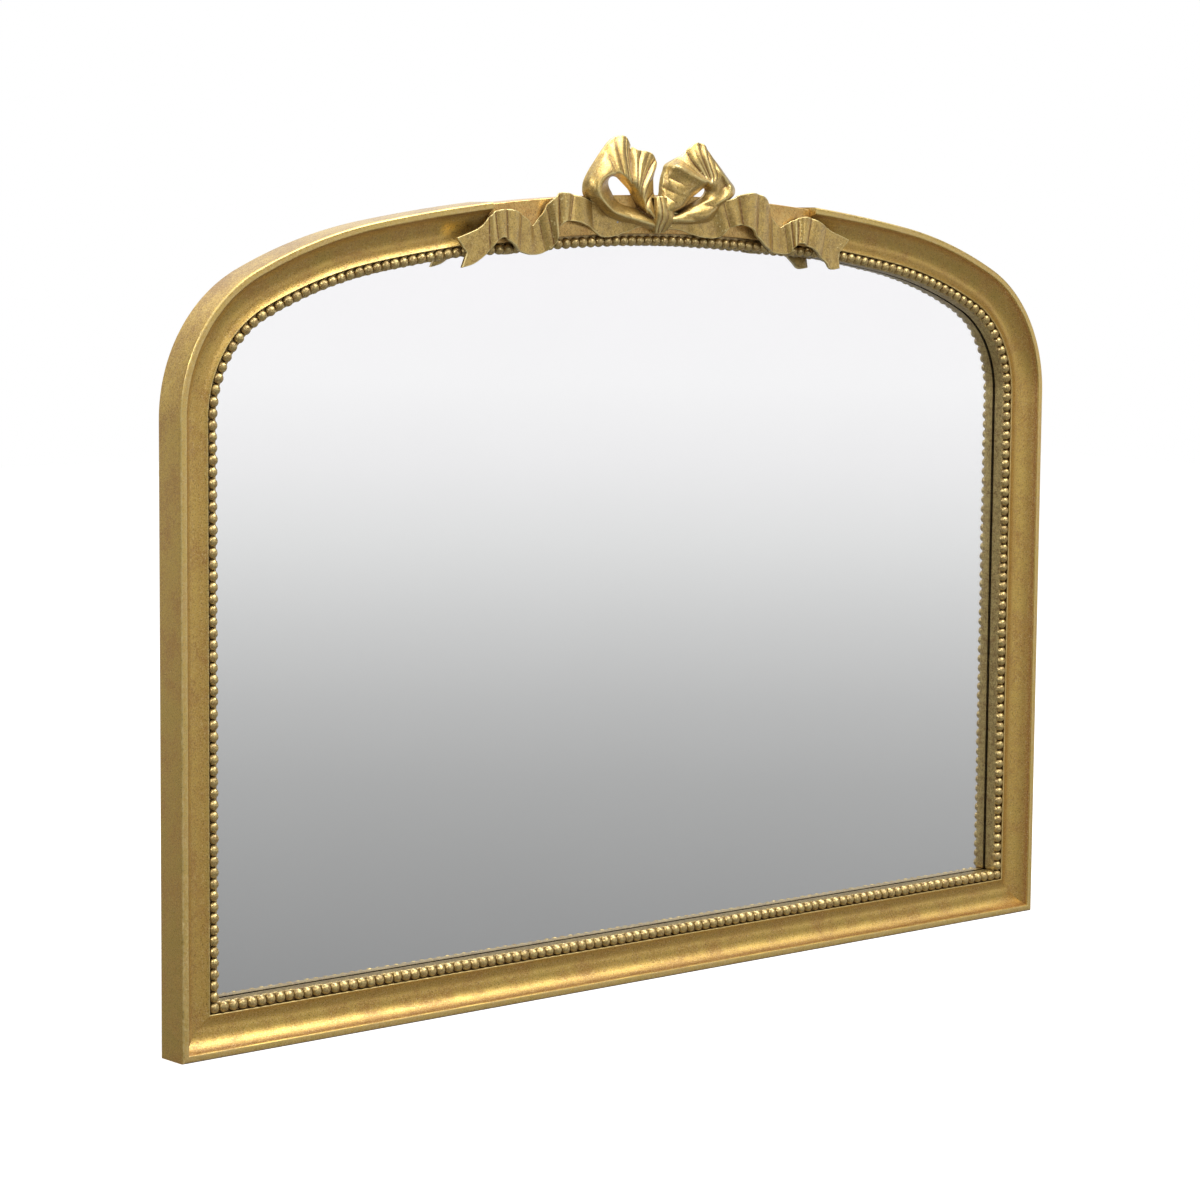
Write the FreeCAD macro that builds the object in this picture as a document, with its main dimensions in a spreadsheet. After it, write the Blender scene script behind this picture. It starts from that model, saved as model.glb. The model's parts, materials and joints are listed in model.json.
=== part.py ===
"""An arched overmantel mirror: gilded moulding, beaded slip, glass, backing and a ribbon bow.

Millimetres. The origin is the middle of the underside of the bottom rail, halfway through
the depth of the frame. X runs to the right, Z up, and the front of the mirror faces -Y.
"""
import FreeCAD, Part
import math
import os
import Sketcher

Vector = FreeCAD.Vector
Rotation = FreeCAD.Rotation
Placement = FreeCAD.Placement

LENGTHS = {
    # the arch: straight sides, then a tight shoulder, a haunch and a nearly flat crown
    "frame_width": 1000.0,
    "spring_height": 508.0,
    "shoulder_radius": 130.0,
    "haunch_radius": 465.0,
    # the moulding, measured inwards from its outer side and back from its rim
    "frame_depth": 30.0,
    "rim_width": 6.4,
    "rim_round": 2.5,
    "rim_step": 1.0,
    "cove_reach": 20.0,
    "cove_depth": 12.5,
    "cove_radius": 19.0,
    "swell_radius": 16.0,
    "moulding_width": 33.4,
    "lip_depth": 10.6,
    "rebate_lap": 6.5,
    "rebate_front": 15.2,
    # the plain block in the crown
    "block_half_width": 188.0,
    "block_inset": 2.0,
    "block_face_depth": 7.5,
    # the beaded slip
    "slip_width": 8.4,
    "slip_flat_width": 7.6,
    "slip_face_depth": 13.6,
    "sight_edge": 1.2,
    "bead_radius": 4.4,
    "bead_pitch": 9.2,
    "bead_inset": 4.7,
    "bead_centre_depth": 13.2,
    # the glass and what holds it
    "glass_face_depth": 23.5,
    "glass_thickness": 3.0,
    "glass_play": 1.5,
    "board_thickness": 3.0,
    "seat_clearance": 0.3,
    "pad_length": 40.0,
    "dowel_radius": 3.0,
    "dowel_length": 30.0,
    "dowel_play": 0.1,
    "dowel_spacing": 10.0,
    "dowel_inset": 8.0,
    "nail_leg": 7.0,
    "nail_gauge": 0.8,
    "nail_depth": 9.0,
    "nail_inset": 7.0,
    "nail_spacing": 9.0,
    # the turn buttons on the back
    "button_length": 23.0,
    "button_width": 12.0,
    "button_corner": 5.0,
    "button_thickness": 2.0,
    "button_pivot_inset": 6.0,
    "button_seat": 18.5,
    "button_bore_radius": 2.25,
    "button_screw_radius": 2.0,
    "button_screw_length": 10.0,
    "screw_head_radius": 3.8,
    "screw_head_height": 1.8,
    "slot_width": 0.8,
    "slot_depth": 0.7,
    # the hangers
    "hanger_drop": 38.0,
    "hanger_inset": 14.0,
    "strap_width": 14.0,
    "strap_length": 40.0,
    "strap_thickness": 1.5,
    "ring_wire_radius": 1.6,
    "ring_half_width": 10.0,
    "ring_straight": 5.0,
    "ring_corner_radius": 2.6,
    "eye_clearance": 0.2,
    "hanger_screw_radius": 1.9,
    "hanger_screw_head": 3.4,
    "hanger_screw_length": 12.0,
    "hanger_first_screw": 9.0,
    "hanger_screw_spacing": 21.0,
    # the wall bumpers
    "bumper_radius": 8.0,
    "bumper_height": 6.5,
    "bumper_inset": 60.0,
    "bumper_rise": 16.0,
    # the bow
    "bow_drop": 19.4,
    "tail_reach": 226.0,
    "tail_thickness": 3.0,
    "loop_rise": 66.0,
    "loop_thickness": 4.0,
    "knot_height": 33.0,
    "knot_foot": 6.5,
    "knot_belly": 11.0,
    "knot_top": 8.0,
    "knot_belly_height": 20.0,
    "knot_bulge": 18.0,
    "pin_radius": 1.0,
    "pin_length": 8.0,
    "pin_inset": 25.0,
    "cut_overrun": 5.0,
}

ANGLES = {
    "shoulder_angle": 64.2,
    "haunch_angle": 79.8,
    "crown_angle": 90.0,
    "full_turn": 360.0,
}

# where the turn buttons and pads stand: shares of the half width, of the sides, of the shoulder
# arcs and of each half of the block
BOTTOM_BUTTON_SHARE = 0.56
SIDE_BUTTON_SHARE = 0.5
SHOULDER_BUTTON_SHARE = 0.7
BLOCK_BUTTON_SHARE = 0.5
BOTTOM_PAD_SHARE = 0.5
SIDE_PAD_SHARE = 0.4

# how far the pan head of a screw draws in from its foot to its top
PAN_HEAD_SHARE = 0.8

# the right ribbon tail from the knot outwards: its upper and its lower edge, each as shares of
# the tail's reach across, up from the knot and out from the seat
TAIL_SHARES = [
    # upper across, up, out, lower across, up, out
    (0.030, -0.010, 0.000, 0.030, -0.050, 0.000),
    (0.150, 0.000, 0.000, 0.150, -0.062, 0.000),
    (0.225, 0.003, 0.000, 0.225, -0.074, 0.000),
    (0.312, 0.041, 0.006, 0.296, -0.083, 0.006),
    (0.355, 0.067, 0.016, 0.342, -0.055, 0.033),
    (0.415, 0.088, 0.029, 0.405, -0.036, 0.042),
    (0.465, 0.099, 0.038, 0.453, -0.050, 0.038),
    (0.527, 0.090, 0.033, 0.487, -0.071, 0.024),
    (0.568, 0.062, 0.020, 0.517, -0.096, 0.014),
    (0.600, -0.005, 0.003, 0.566, -0.132, 0.003),
    (0.628, -0.040, 0.000, 0.626, -0.142, 0.000),
    (0.655, -0.040, 0.000, 0.656, -0.138, 0.000),
    (0.682, -0.018, 0.003, 0.680, -0.132, 0.006),
    (0.717, -0.002, 0.020, 0.711, -0.112, 0.029),
    (0.780, 0.000, 0.029, 0.765, -0.106, 0.038),
    (0.846, -0.019, 0.024, 0.820, -0.124, 0.029),
    (0.916, -0.056, 0.016, 0.880, -0.162, 0.016),
    (1.000, -0.086, 0.006, 0.960, -0.200, 0.004),
]

# the right loop from the knot, under the hole, round the outside and over the top back to the
# knot: its front edge beside the hole and its outer edge, as shares of the loop's rise
LOOP_SHARES = [
    # front across, up, out, outer across, up, out
    (0.08, -0.02, 0.08, 0.08, -0.14, 0.03),
    (0.42, 0.06, 0.13, 0.50, -0.10, 0.05),
    (0.74, 0.13, 0.13, 0.95, 0.02, 0.04),
    (0.95, 0.26, 0.12, 1.22, 0.24, 0.00),
    (0.97, 0.42, 0.11, 1.24, 0.48, -0.08),
    (0.86, 0.54, 0.11, 1.04, 0.78, -0.10),
    (0.66, 0.58, 0.12, 0.74, 0.96, -0.10),
    (0.44, 0.54, 0.14, 0.38, 0.88, -0.04),
    (0.32, 0.42, 0.16, 0.12, 0.68, 0.01),
    (0.24, 0.26, 0.16, 0.05, 0.42, 0.04),
    (0.16, 0.10, 0.14, 0.03, 0.16, 0.06),
]

# where pins hold the bow, as shares of the tail's reach to either side of the knot
PIN_SHARES = [0.0, 0.2, -0.2, 0.64, -0.64]


class Size:
    """A size that knows its value and the formula that binds it to the sheet."""

    def __init__(self, value, formula):
        self.value = value
        self.formula = formula

    def __add__(self, other):
        other = as_size(other)
        return Size(self.value + other.value, f"({self.formula} + {other.formula})")

    def __sub__(self, other):
        other = as_size(other)
        return Size(self.value - other.value, f"({self.formula} - {other.formula})")

    def __mul__(self, other):
        other = as_size(other)
        return Size(self.value * other.value, f"({self.formula} * {other.formula})")

    def __truediv__(self, other):
        other = as_size(other)
        return Size(self.value / other.value, f"({self.formula} / {other.formula})")

    def __neg__(self):
        return Size(-self.value, f"(-{self.formula})")


def as_size(number):
    """A plain number as a size, so that both can stand in one sum."""
    if isinstance(number, Size):
        return number
    return Size(number, f"({number!r})")


def cosine(angle):
    return Size(math.cos(math.radians(angle.value)), f"cos({angle.formula} * 1deg)")


def sine(angle):
    return Size(math.sin(math.radians(angle.value)), f"sin({angle.formula} * 1deg)")


def arc_cosine(share):
    return Size(math.degrees(math.acos(share.value)), f"(acos({share.formula}) / 1deg)")


def fill_sheet(doc):
    """Write the driving sizes to the sheet and return them as sizes bound to its cells."""
    sheet = doc.addObject("Spreadsheet::Sheet", "sizes")
    named = {}
    for row, (name, number) in enumerate([*LENGTHS.items(), *ANGLES.items()], start=1):
        sheet.set(f"A{row}", name)
        sheet.set(f"B{row}", repr(number))
        sheet.setAlias(f"B{row}", name)
        named[name] = Size(number, f"sizes.{name}")
    return named


doc = FreeCAD.newDocument("arched_mirror")
size = fill_sheet(doc)
doc.recompute()

# the arch, worked out from the driving sizes: three arcs on each side that meet tangentially
half_width = size["frame_width"] / 2
spring = size["spring_height"]
shoulder_angle = size["shoulder_angle"]
haunch_angle = size["haunch_angle"]
shoulder_x = half_width - size["shoulder_radius"]
haunch_offset = size["haunch_radius"] - size["shoulder_radius"]
haunch_x = shoulder_x - haunch_offset * cosine(shoulder_angle)
haunch_z = spring - haunch_offset * sine(shoulder_angle)
crown_offset = haunch_x / cosine(haunch_angle)
crown_radius = size["haunch_radius"] + crown_offset
crown_z = haunch_z - crown_offset * sine(haunch_angle)
block_angle = arc_cosine(size["block_half_width"] / crown_radius)

# depths in the frame and distances inwards from its outer side
front = -size["frame_depth"] / 2
back = size["frame_depth"] / 2
glass_front = front + size["glass_face_depth"]
glass_back = glass_front + size["glass_thickness"]
block_face = front + size["block_face_depth"]
rebate_wall = size["moulding_width"] - size["rebate_lap"]
rebate_y = front + size["rebate_front"]
glass_edge = rebate_wall + size["glass_play"]
bead_line = size["moulding_width"] + size["bead_inset"]
bead_y = front + size["bead_centre_depth"]
sight_line = size["moulding_width"] + size["slip_width"]
button_back = back + size["seat_clearance"] + size["button_thickness"]
hanger_z = spring - size["hanger_drop"]
bow_z = crown_z + crown_radius - size["bow_drop"]
eye_inner_radius = size["ring_wire_radius"] + size["eye_clearance"]
eye_outer_radius = eye_inner_radius + size["strap_thickness"]


def bind(target, name, amount):
    """Set a property to a size and tie it to the sheet."""
    amount = as_size(amount)
    setattr(target, name, amount.value)
    target.setExpression(name, amount.formula)


def put(target, x, y, z, turn_about_y=0.0):
    """Place a sub-part, turned about the front-to-back axis by an angle in degrees."""
    base = [as_size(amount) for amount in (x, y, z)]
    rotation = Rotation(Vector(0, 1, 0), turn_about_y)
    target.Placement = Placement(Vector(*[amount.value for amount in base]), rotation)
    for axis, amount in zip("xyz", base):
        target.setExpression(f"Placement.Base.{axis}", amount.formula)


def new_body(label):
    body = doc.addObject("PartDesign::Body", label)
    body.Label = label
    return body


def new_sketch(body, name, role, offset=Placement()):
    """An empty sketch on one of the body's origin planes, moved within it by an offset."""
    plane = next(feature for feature in body.Origin.OriginFeatures if feature.Role == role)
    sketch = body.newObject("Sketcher::SketchObject", name)
    sketch.AttachmentSupport = [(plane, "")]
    sketch.MapMode = "FlatFace"
    sketch.AttachmentOffset = offset
    return sketch


def raised(sketch, height):
    """Move a sketch off its plane along the plane's normal."""
    sketch.AttachmentOffset = Placement(Vector(0, 0, height.value), Rotation())
    sketch.setExpression("AttachmentOffset.Base.z", height.formula)
    return sketch


def pin_point(sketch, name, curve, end, x, y):
    """Dimension one end of a curve from the sketch's origin."""
    for kind, axis, amount in (("DistanceX", "x", as_size(x)), ("DistanceY", "y", as_size(y))):
        index = sketch.addConstraint(Sketcher.Constraint(kind, -1, 1, curve, end, amount.value))
        sketch.renameConstraint(index, f"{name}_{axis}")
        sketch.setExpression(f"Constraints.{name}_{axis}", amount.formula)


def dimension_radius(sketch, name, curve, radius):
    index = sketch.addConstraint(Sketcher.Constraint("Radius", curve, radius.value))
    sketch.renameConstraint(index, name)
    sketch.setExpression(f"Constraints.{name}", radius.formula)


def arc_between(start, end, radius, turn):
    """The arc under half a circle from start to end that turns left (1) or right (-1)."""
    chord = end - start
    rise = math.sqrt(max(radius * radius - chord.Length ** 2 / 4, 0.0))
    left = Vector(-chord.y, chord.x, 0) / chord.Length
    centre = (start + end) * 0.5 + left * rise * turn
    first, last = (start, end) if turn > 0 else (end, start)
    begin = math.atan2(first.y - centre.y, first.x - centre.x)
    finish = math.atan2(last.y - centre.y, last.x - centre.x)
    if finish < begin:
        finish += 2 * math.pi
    return Part.ArcOfCircle(Part.Circle(centre, Vector(0, 0, 1), radius), begin, finish)


def draw_loop(sketch, corners, name="corner"):
    """Draw a closed outline. A corner is (x, y), or (x, y, radius, turn) if an arc reaches it."""
    places = [Vector(as_size(corner[0]).value, as_size(corner[1]).value, 0) for corner in corners]
    curves = []
    for number, corner in enumerate(corners):
        start = places[number - 1]
        end = places[number]
        if len(corner) == 4:
            radius = as_size(corner[2])
            curve = sketch.addGeometry(arc_between(start, end, radius.value, corner[3]), False)
            dimension_radius(sketch, f"{name}_{number}_radius", curve, radius)
            curves.append((curve, 1, 2) if corner[3] > 0 else (curve, 2, 1))
        else:
            curves.append((sketch.addGeometry(Part.LineSegment(start, end), False), 1, 2))
    for number, corner in enumerate(corners):
        curve, _, tip = curves[number]
        following, tail, _ = curves[(number + 1) % len(curves)]
        sketch.addConstraint(Sketcher.Constraint("Coincident", curve, tip, following, tail))
        pin_point(sketch, f"{name}_{number}", curve, tip, corner[0], corner[1])


def draw_box(sketch, left, right, low, high, name="box"):
    draw_loop(sketch, [(left, low), (right, low), (right, high), (left, high)], name)


def draw_circle(sketch, x, y, radius, name="circle"):
    centre = Vector(as_size(x).value, as_size(y).value, 0)
    curve = sketch.addGeometry(Part.Circle(centre, Vector(0, 0, 1), radius.value), False)
    pin_point(sketch, name, curve, 3, x, y)
    dimension_radius(sketch, f"{name}_radius", curve, radius)


def add_pad(body, sketch, length, name="pad", centred=False):
    pad = body.newObject("PartDesign::Pad", name)
    pad.Profile = sketch
    bind(pad, "Length", length)
    pad.Midplane = centred
    body.Tip = pad
    return pad


def add_pocket(body, sketch, length, name, centred=False, backwards=False):
    """Cut a sketch out of the body, and check that the cut removed something."""
    doc.recompute()
    before = body.Shape.Volume
    pocket = body.newObject("PartDesign::Pocket", name)
    pocket.Profile = sketch
    bind(pocket, "Length", length)
    pocket.Midplane = centred
    pocket.Reversed = backwards
    body.Tip = pocket
    doc.recompute()
    if not body.Shape.Volume < before:
        raise RuntimeError(f"{body.Label}: {name} cuts nothing")


def add_revolution(body, sketch, axis, angle, name, backwards=False):
    turned = body.newObject("PartDesign::Revolution", name)
    turned.Profile = sketch
    turned.ReferenceAxis = (sketch, [axis])
    bind(turned, "Angle", angle)
    turned.Reversed = backwards
    turned.Refine = False
    body.Tip = turned
    doc.recompute()
    return turned


def moulding_section():
    """The main moulding as (inset, depth) corners: rim, cove, lip and the rebate behind."""
    rim_round = size["rim_round"]
    return [
        (as_size(0), back),
        (as_size(0), front + rim_round),
        (rim_round, front, rim_round, 1),
        (size["rim_width"], front),
        (size["rim_width"], front + size["rim_step"]),
        (size["cove_reach"], front + size["cove_depth"], size["cove_radius"], -1),
        (size["moulding_width"], front + size["lip_depth"], size["swell_radius"], -1),
        (size["moulding_width"], rebate_y),
        (rebate_wall, rebate_y),
        (rebate_wall, back),
    ]


def block_section():
    """The plain block of the crown: a flat face in place of the rim and the cove."""
    return [
        (size["block_inset"], back),
        (size["block_inset"], block_face),
        (size["moulding_width"], block_face),
        (size["moulding_width"], rebate_y),
        (rebate_wall, rebate_y),
        (rebate_wall, back),
    ]


def slip_section():
    """The slip: a flat for the beads, a steep wall down to the glass and a flange in the rebate."""
    face_y = front + size["slip_face_depth"]
    return [
        (size["moulding_width"], rebate_y),
        (size["moulding_width"], face_y),
        (size["moulding_width"] + size["slip_flat_width"], face_y),
        (sight_line, glass_front - size["sight_edge"]),
        (sight_line, glass_front),
        (rebate_wall, glass_front),
        (rebate_wall, rebate_y),
    ]


def laid(section, place, mirrored):
    """Carry a section into a sketch, where a mirrored one turns its arcs the other way."""
    corners = []
    for inset, depth, *arc in section:
        corner = place(inset, depth)
        if arc:
            radius, turn = arc
            corner = (*corner, radius, -turn if mirrored else turn)
        corners.append(corner)
    return corners


def draw_bead(sketch, x, y):
    """Half of a bead, with its flat side first, to be turned about that side."""
    radius = size["bead_radius"]
    x = as_size(x)
    y = as_size(y)
    ends = [(y + radius), (y - radius)]
    top, foot = [Vector(x.value, end.value, 0) for end in ends]
    side = sketch.addGeometry(Part.LineSegment(top, foot), False)
    circle = Part.Circle(Vector(x.value, y.value, 0), Vector(0, 0, 1), radius.value)
    arc = sketch.addGeometry(Part.ArcOfCircle(circle, -math.pi / 2, math.pi / 2), False)
    sketch.addConstraint(Sketcher.Constraint("Coincident", side, 1, arc, 2))
    sketch.addConstraint(Sketcher.Constraint("Coincident", side, 2, arc, 1))
    sketch.addConstraint(Sketcher.Constraint("PointOnObject", arc, 3, side))
    pin_point(sketch, "top", side, 1, x, ends[0])
    pin_point(sketch, "foot", side, 2, x, ends[1])


def whole_steps(run):
    """How many bead pitches fit a run."""
    return max(2, round(run.value / size["bead_pitch"].value))


def repeat_bead(body, kind, name, bead, line, amount, count, backwards=False):
    """Repeat a bead along a straight run, or round an arc."""
    row = body.newObject(f"PartDesign::{kind}Pattern", name)
    row.Originals = [bead]
    setattr(row, "Direction" if kind == "Linear" else "Axis", line)
    bind(row, "Length" if kind == "Linear" else "Angle", amount)
    row.Occurrences = count
    row.Reversed = backwards
    row.Refine = False
    body.Tip = row


def bead_arc(body, centre, radius, sweep, name, backwards):
    """A row of beads round an arc whose centre lies on the local X axis."""
    bead_radius_line = radius - bead_line
    count = whole_steps(bead_radius_line * sweep * math.radians(1))
    step = sweep / count
    turn = -step.value / 2 if backwards else step.value / 2
    offset = Placement(Vector(centre.value, 0, 0), Rotation(Vector(0, 1, 0), turn))
    sketch = new_sketch(body, f"{name}_bead", "XY_Plane", offset)
    draw_bead(sketch, bead_radius_line, bead_y)
    doc.recompute()
    bead = add_revolution(body, sketch, "Edge1", size["full_turn"], f"{name}_first_bead")
    repeat_bead(body, "Polar", name, bead, (sketch, ["V_Axis"]), sweep - step, count, backwards)


def cut_mitre(body, side, keeps_rail):
    """Cut a bottom corner at 45 degrees, keeping the rail or the stile."""
    reach = sight_line + size["cut_overrun"]
    over = size["cut_overrun"]
    corner = [(half_width * side, 0), ((half_width - reach) * side, reach)]
    if keeps_rail:
        corner += [((half_width + over) * side, reach), ((half_width + over) * side, 0)]
    else:
        corner += [((half_width - reach) * side, -over), (half_width * side, -over)]
    name = "right_mitre" if side > 0 else "left_mitre"
    sketch = new_sketch(body, f"{name}_layout", "XZ_Plane")
    draw_loop(sketch, corner)
    add_pocket(body, sketch, size["frame_depth"] * 2, name, centred=True)


def drill_dowels(body, place, name, offset=Placement(), backwards=False, height=None):
    """Bore the two dowel holes of a butt joint into one end of a piece."""
    sketch = new_sketch(body, f"{name}_layout", "XY_Plane", offset)
    if height is not None:
        raised(sketch, height)
    hole_radius = size["dowel_radius"] + size["dowel_play"]
    for number in range(2):
        inset = size["dowel_inset"] + size["dowel_spacing"] * number
        x, y = place(inset, back - size["dowel_inset"])
        draw_circle(sketch, x, y, hole_radius, f"hole_{number}")
    depth = size["dowel_length"] / 2 + size["seat_clearance"]
    add_pocket(body, sketch, depth, name, backwards=backwards)


def along_rail(inset, depth):
    return (depth, inset)


def beside(side):
    """The sketch coordinates of a stile's section, measured in from one outer side."""
    return lambda inset, depth: ((half_width - inset) * side, depth)


def round_centre(radius):
    """The sketch coordinates of an arc's section, measured in from its outer radius."""
    return lambda inset, depth: (radius - inset, depth)


def side_word(side):
    return "right" if side > 0 else "left"


def make_bottom_rail():
    body = new_body("bottom_rail")
    sketch = new_sketch(body, "section", "YZ_Plane")
    draw_loop(sketch, laid(moulding_section(), along_rail, True))
    add_pad(body, sketch, size["frame_width"], centred=True)
    for side in (-1, 1):
        cut_mitre(body, side, keeps_rail=True)


def make_bottom_slip():
    """The bottom slip; its row of beads runs from the middle of one mitre to the other."""
    body = new_body("bottom_slip")
    sketch = new_sketch(body, "section", "YZ_Plane")
    draw_loop(sketch, laid(slip_section(), along_rail, True))
    add_pad(body, sketch, size["frame_width"], centred=True)
    run = (half_width - bead_line) * 2
    bead_sketch = raised(new_sketch(body, "bead_section", "YZ_Plane"), -run / 2)
    draw_bead(bead_sketch, bead_y, bead_line)
    doc.recompute()
    bead = add_revolution(body, bead_sketch, "Edge1", size["full_turn"], "first_bead")
    repeat_bead(body, "Linear", "beads", bead, (sketch, ["N_Axis"]), run, whole_steps(run) + 1)
    for side in (-1, 1):
        cut_mitre(body, side, keeps_rail=True)


def make_stile(side):
    """A straight side of the moulding, mitred below and dowelled to the shoulder above."""
    body = new_body(f"{side_word(side)}_stile")
    sketch = new_sketch(body, "section", "XY_Plane")
    draw_loop(sketch, laid(moulding_section(), beside(side), side > 0))
    add_pad(body, sketch, spring)
    cut_mitre(body, side, keeps_rail=False)
    drill_dowels(body, beside(side), "top_dowels", height=spring)


def make_side_slip(side):
    """A straight side of the slip; the lowest bead is shared with the bottom slip at the mitre."""
    body = new_body(f"{side_word(side)}_slip")
    sketch = new_sketch(body, "section", "XY_Plane")
    draw_loop(sketch, laid(slip_section(), beside(side), side > 0))
    add_pad(body, sketch, spring)
    count = whole_steps(spring - bead_line)
    step = (spring - bead_line) / (count + 0.5)
    bead_sketch = raised(new_sketch(body, "bead_section", "XY_Plane"), bead_line)
    x, y = beside(side)(bead_line, bead_y)
    draw_bead(bead_sketch, x, y)
    doc.recompute()
    bead = add_revolution(body, bead_sketch, "Edge1", size["full_turn"], "first_bead")
    repeat_bead(body, "Linear", "beads", bead, (sketch, ["N_Axis"]), step * count, count + 1)
    cut_mitre(body, side, keeps_rail=False)


def put_on_arc(body, centre_x, centre_z, angle, side):
    """Place a body with its local X axis pointing out from an arc's centre at an angle."""
    turn = -angle.value if side > 0 else angle.value - ANGLES["full_turn"] / 2
    put(body, centre_x * side, 0, centre_z, turn)


def tilted(angle, side, centre=0.0):
    """A section plane turned on from the local one, about an axis at a place on local X."""
    turn = -angle.value if side > 0 else angle.value
    return Placement(Vector(centre, 0, 0), Rotation(Vector(0, 1, 0), turn))


def make_shoulder(side):
    """The tight arc of the moulding above a stile."""
    body = new_body(f"{side_word(side)}_shoulder")
    radius = size["shoulder_radius"]
    sketch = new_sketch(body, "section", "XY_Plane")
    draw_loop(sketch, laid(moulding_section(), round_centre(radius), True))
    add_revolution(body, sketch, "V_Axis", shoulder_angle, "arc", backwards=side > 0)
    drill_dowels(body, round_centre(radius), "lower_dowels", backwards=side > 0)
    drill_dowels(body, round_centre(radius), "upper_dowels", tilted(shoulder_angle, side), side < 0)
    put_on_arc(body, shoulder_x, spring, as_size(0.0), side)


def make_shoulder_slip(side):
    body = new_body(f"{side_word(side)}_shoulder_slip")
    radius = size["shoulder_radius"]
    sketch = new_sketch(body, "section", "XY_Plane")
    draw_loop(sketch, laid(slip_section(), round_centre(radius), True))
    add_revolution(body, sketch, "V_Axis", shoulder_angle, "arc", backwards=side > 0)
    bead_arc(body, as_size(0.0), radius, shoulder_angle, "beads", side > 0)
    put_on_arc(body, shoulder_x, spring, as_size(0.0), side)


def add_two_arcs(body, section, crown_end, side):
    """Turn a section both ways from where the haunch meets the crown, each about its centre."""
    sketch = new_sketch(body, "section", "XY_Plane")
    draw_loop(sketch, laid(section, round_centre(size["haunch_radius"]), True))
    axis_foot = Vector(-crown_offset.value, back.value, 0)
    axis_top = Vector(-crown_offset.value, front.value, 0)
    axis = sketch.addGeometry(Part.LineSegment(axis_foot, axis_top), True)
    pin_point(sketch, "axis_foot", axis, 1, -crown_offset, back)
    pin_point(sketch, "axis_top", axis, 2, -crown_offset, front)
    haunch_sweep = haunch_angle - shoulder_angle
    add_revolution(body, sketch, "V_Axis", haunch_sweep, "haunch", backwards=side < 0)
    crown = add_revolution(body, sketch, "Axis0", crown_end - haunch_angle, "crown", side < 0)
    return crown


def make_crown_rail(side):
    """The flatter part of the arch, from the shoulder to the plain block."""
    body = new_body(f"{side_word(side)}_crown_rail")
    add_two_arcs(body, moulding_section(), block_angle, side)
    place = round_centre(size["haunch_radius"])
    haunch_sweep = haunch_angle - shoulder_angle
    drill_dowels(body, place, "outer_dowels", tilted(-haunch_sweep, side), side > 0)
    inner = tilted(block_angle - haunch_angle, side, -crown_offset.value)
    drill_dowels(body, round_centre(crown_radius), "inner_dowels", inner, side < 0)
    put_on_arc(body, haunch_x, haunch_z, haunch_angle, side)


def make_crown_slip(side):
    body = new_body(f"{side_word(side)}_crown_slip")
    crown_angle = size["crown_angle"]
    add_two_arcs(body, slip_section(), crown_angle, side)
    haunch_sweep = haunch_angle - shoulder_angle
    bead_arc(body, as_size(0.0), size["haunch_radius"], haunch_sweep, "haunch_beads", side < 0)
    crown_sweep = crown_angle - haunch_angle
    bead_arc(body, -crown_offset, crown_radius, crown_sweep, "crown_beads", side > 0)
    put_on_arc(body, haunch_x, haunch_z, haunch_angle, side)


def make_crown_block():
    """The plain block that carries the bow, between the two crown rails."""
    body = new_body("crown_block")
    sketch = new_sketch(body, "section", "XY_Plane")
    draw_loop(sketch, laid(block_section(), round_centre(crown_radius), True))
    sweep = (size["crown_angle"] - block_angle) * 2
    add_revolution(body, sketch, "V_Axis", sweep, "arc", backwards=True)
    place = round_centre(crown_radius)
    drill_dowels(body, place, "right_dowels", backwards=True)
    drill_dowels(body, place, "left_dowels", tilted(sweep, 1))
    put_on_arc(body, as_size(0.0), crown_z, block_angle, 1)


def arch_outline(inset):
    """The whole arch seen from the front, a distance in from its outer side."""
    side_x = half_width - inset
    shoulder_reach = size["shoulder_radius"] - inset
    haunch_reach = size["haunch_radius"] - inset
    low_x = shoulder_x + shoulder_reach * cosine(shoulder_angle)
    low_z = spring + shoulder_reach * sine(shoulder_angle)
    high_x = haunch_x + haunch_reach * cosine(haunch_angle)
    high_z = haunch_z + haunch_reach * sine(haunch_angle)
    return [
        (-side_x, inset),
        (side_x, inset),
        (side_x, spring),
        (low_x, low_z, shoulder_reach, 1),
        (high_x, high_z, haunch_reach, 1),
        (-high_x, high_z, crown_radius - inset, 1),
        (-low_x, low_z, haunch_reach, 1),
        (-side_x, spring, shoulder_reach, 1),
    ]


def make_sheet(label, inset, thickness, back_face):
    """A flat sheet of the arch's shape, such as the glass, with its back at a given depth."""
    body = new_body(label)
    sketch = new_sketch(body, "outline", "XZ_Plane")
    draw_loop(sketch, arch_outline(inset))
    add_pad(body, sketch, thickness)
    put(body, 0, back_face, 0)


def make_setting_pads():
    """Pads that centre the glass in the rebate: two below it and one at each side."""
    body = new_body("glass_setting_pads")
    sketch = new_sketch(body, "layout", "XZ_Plane")
    half_pad = size["pad_length"] / 2
    for side in (-1, 1):
        x = half_width * BOTTOM_PAD_SHARE * side
        draw_box(sketch, x - half_pad, x + half_pad, rebate_wall, glass_edge, f"low_{side_word(side)}")
        z = spring * SIDE_PAD_SHARE
        outer = (half_width - rebate_wall) * side
        inner = (half_width - glass_edge) * side
        draw_box(sketch, outer, inner, z - half_pad, z + half_pad, f"side_{side_word(side)}")
    add_pad(body, sketch, size["glass_thickness"])
    put(body, 0, glass_back, 0)


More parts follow.
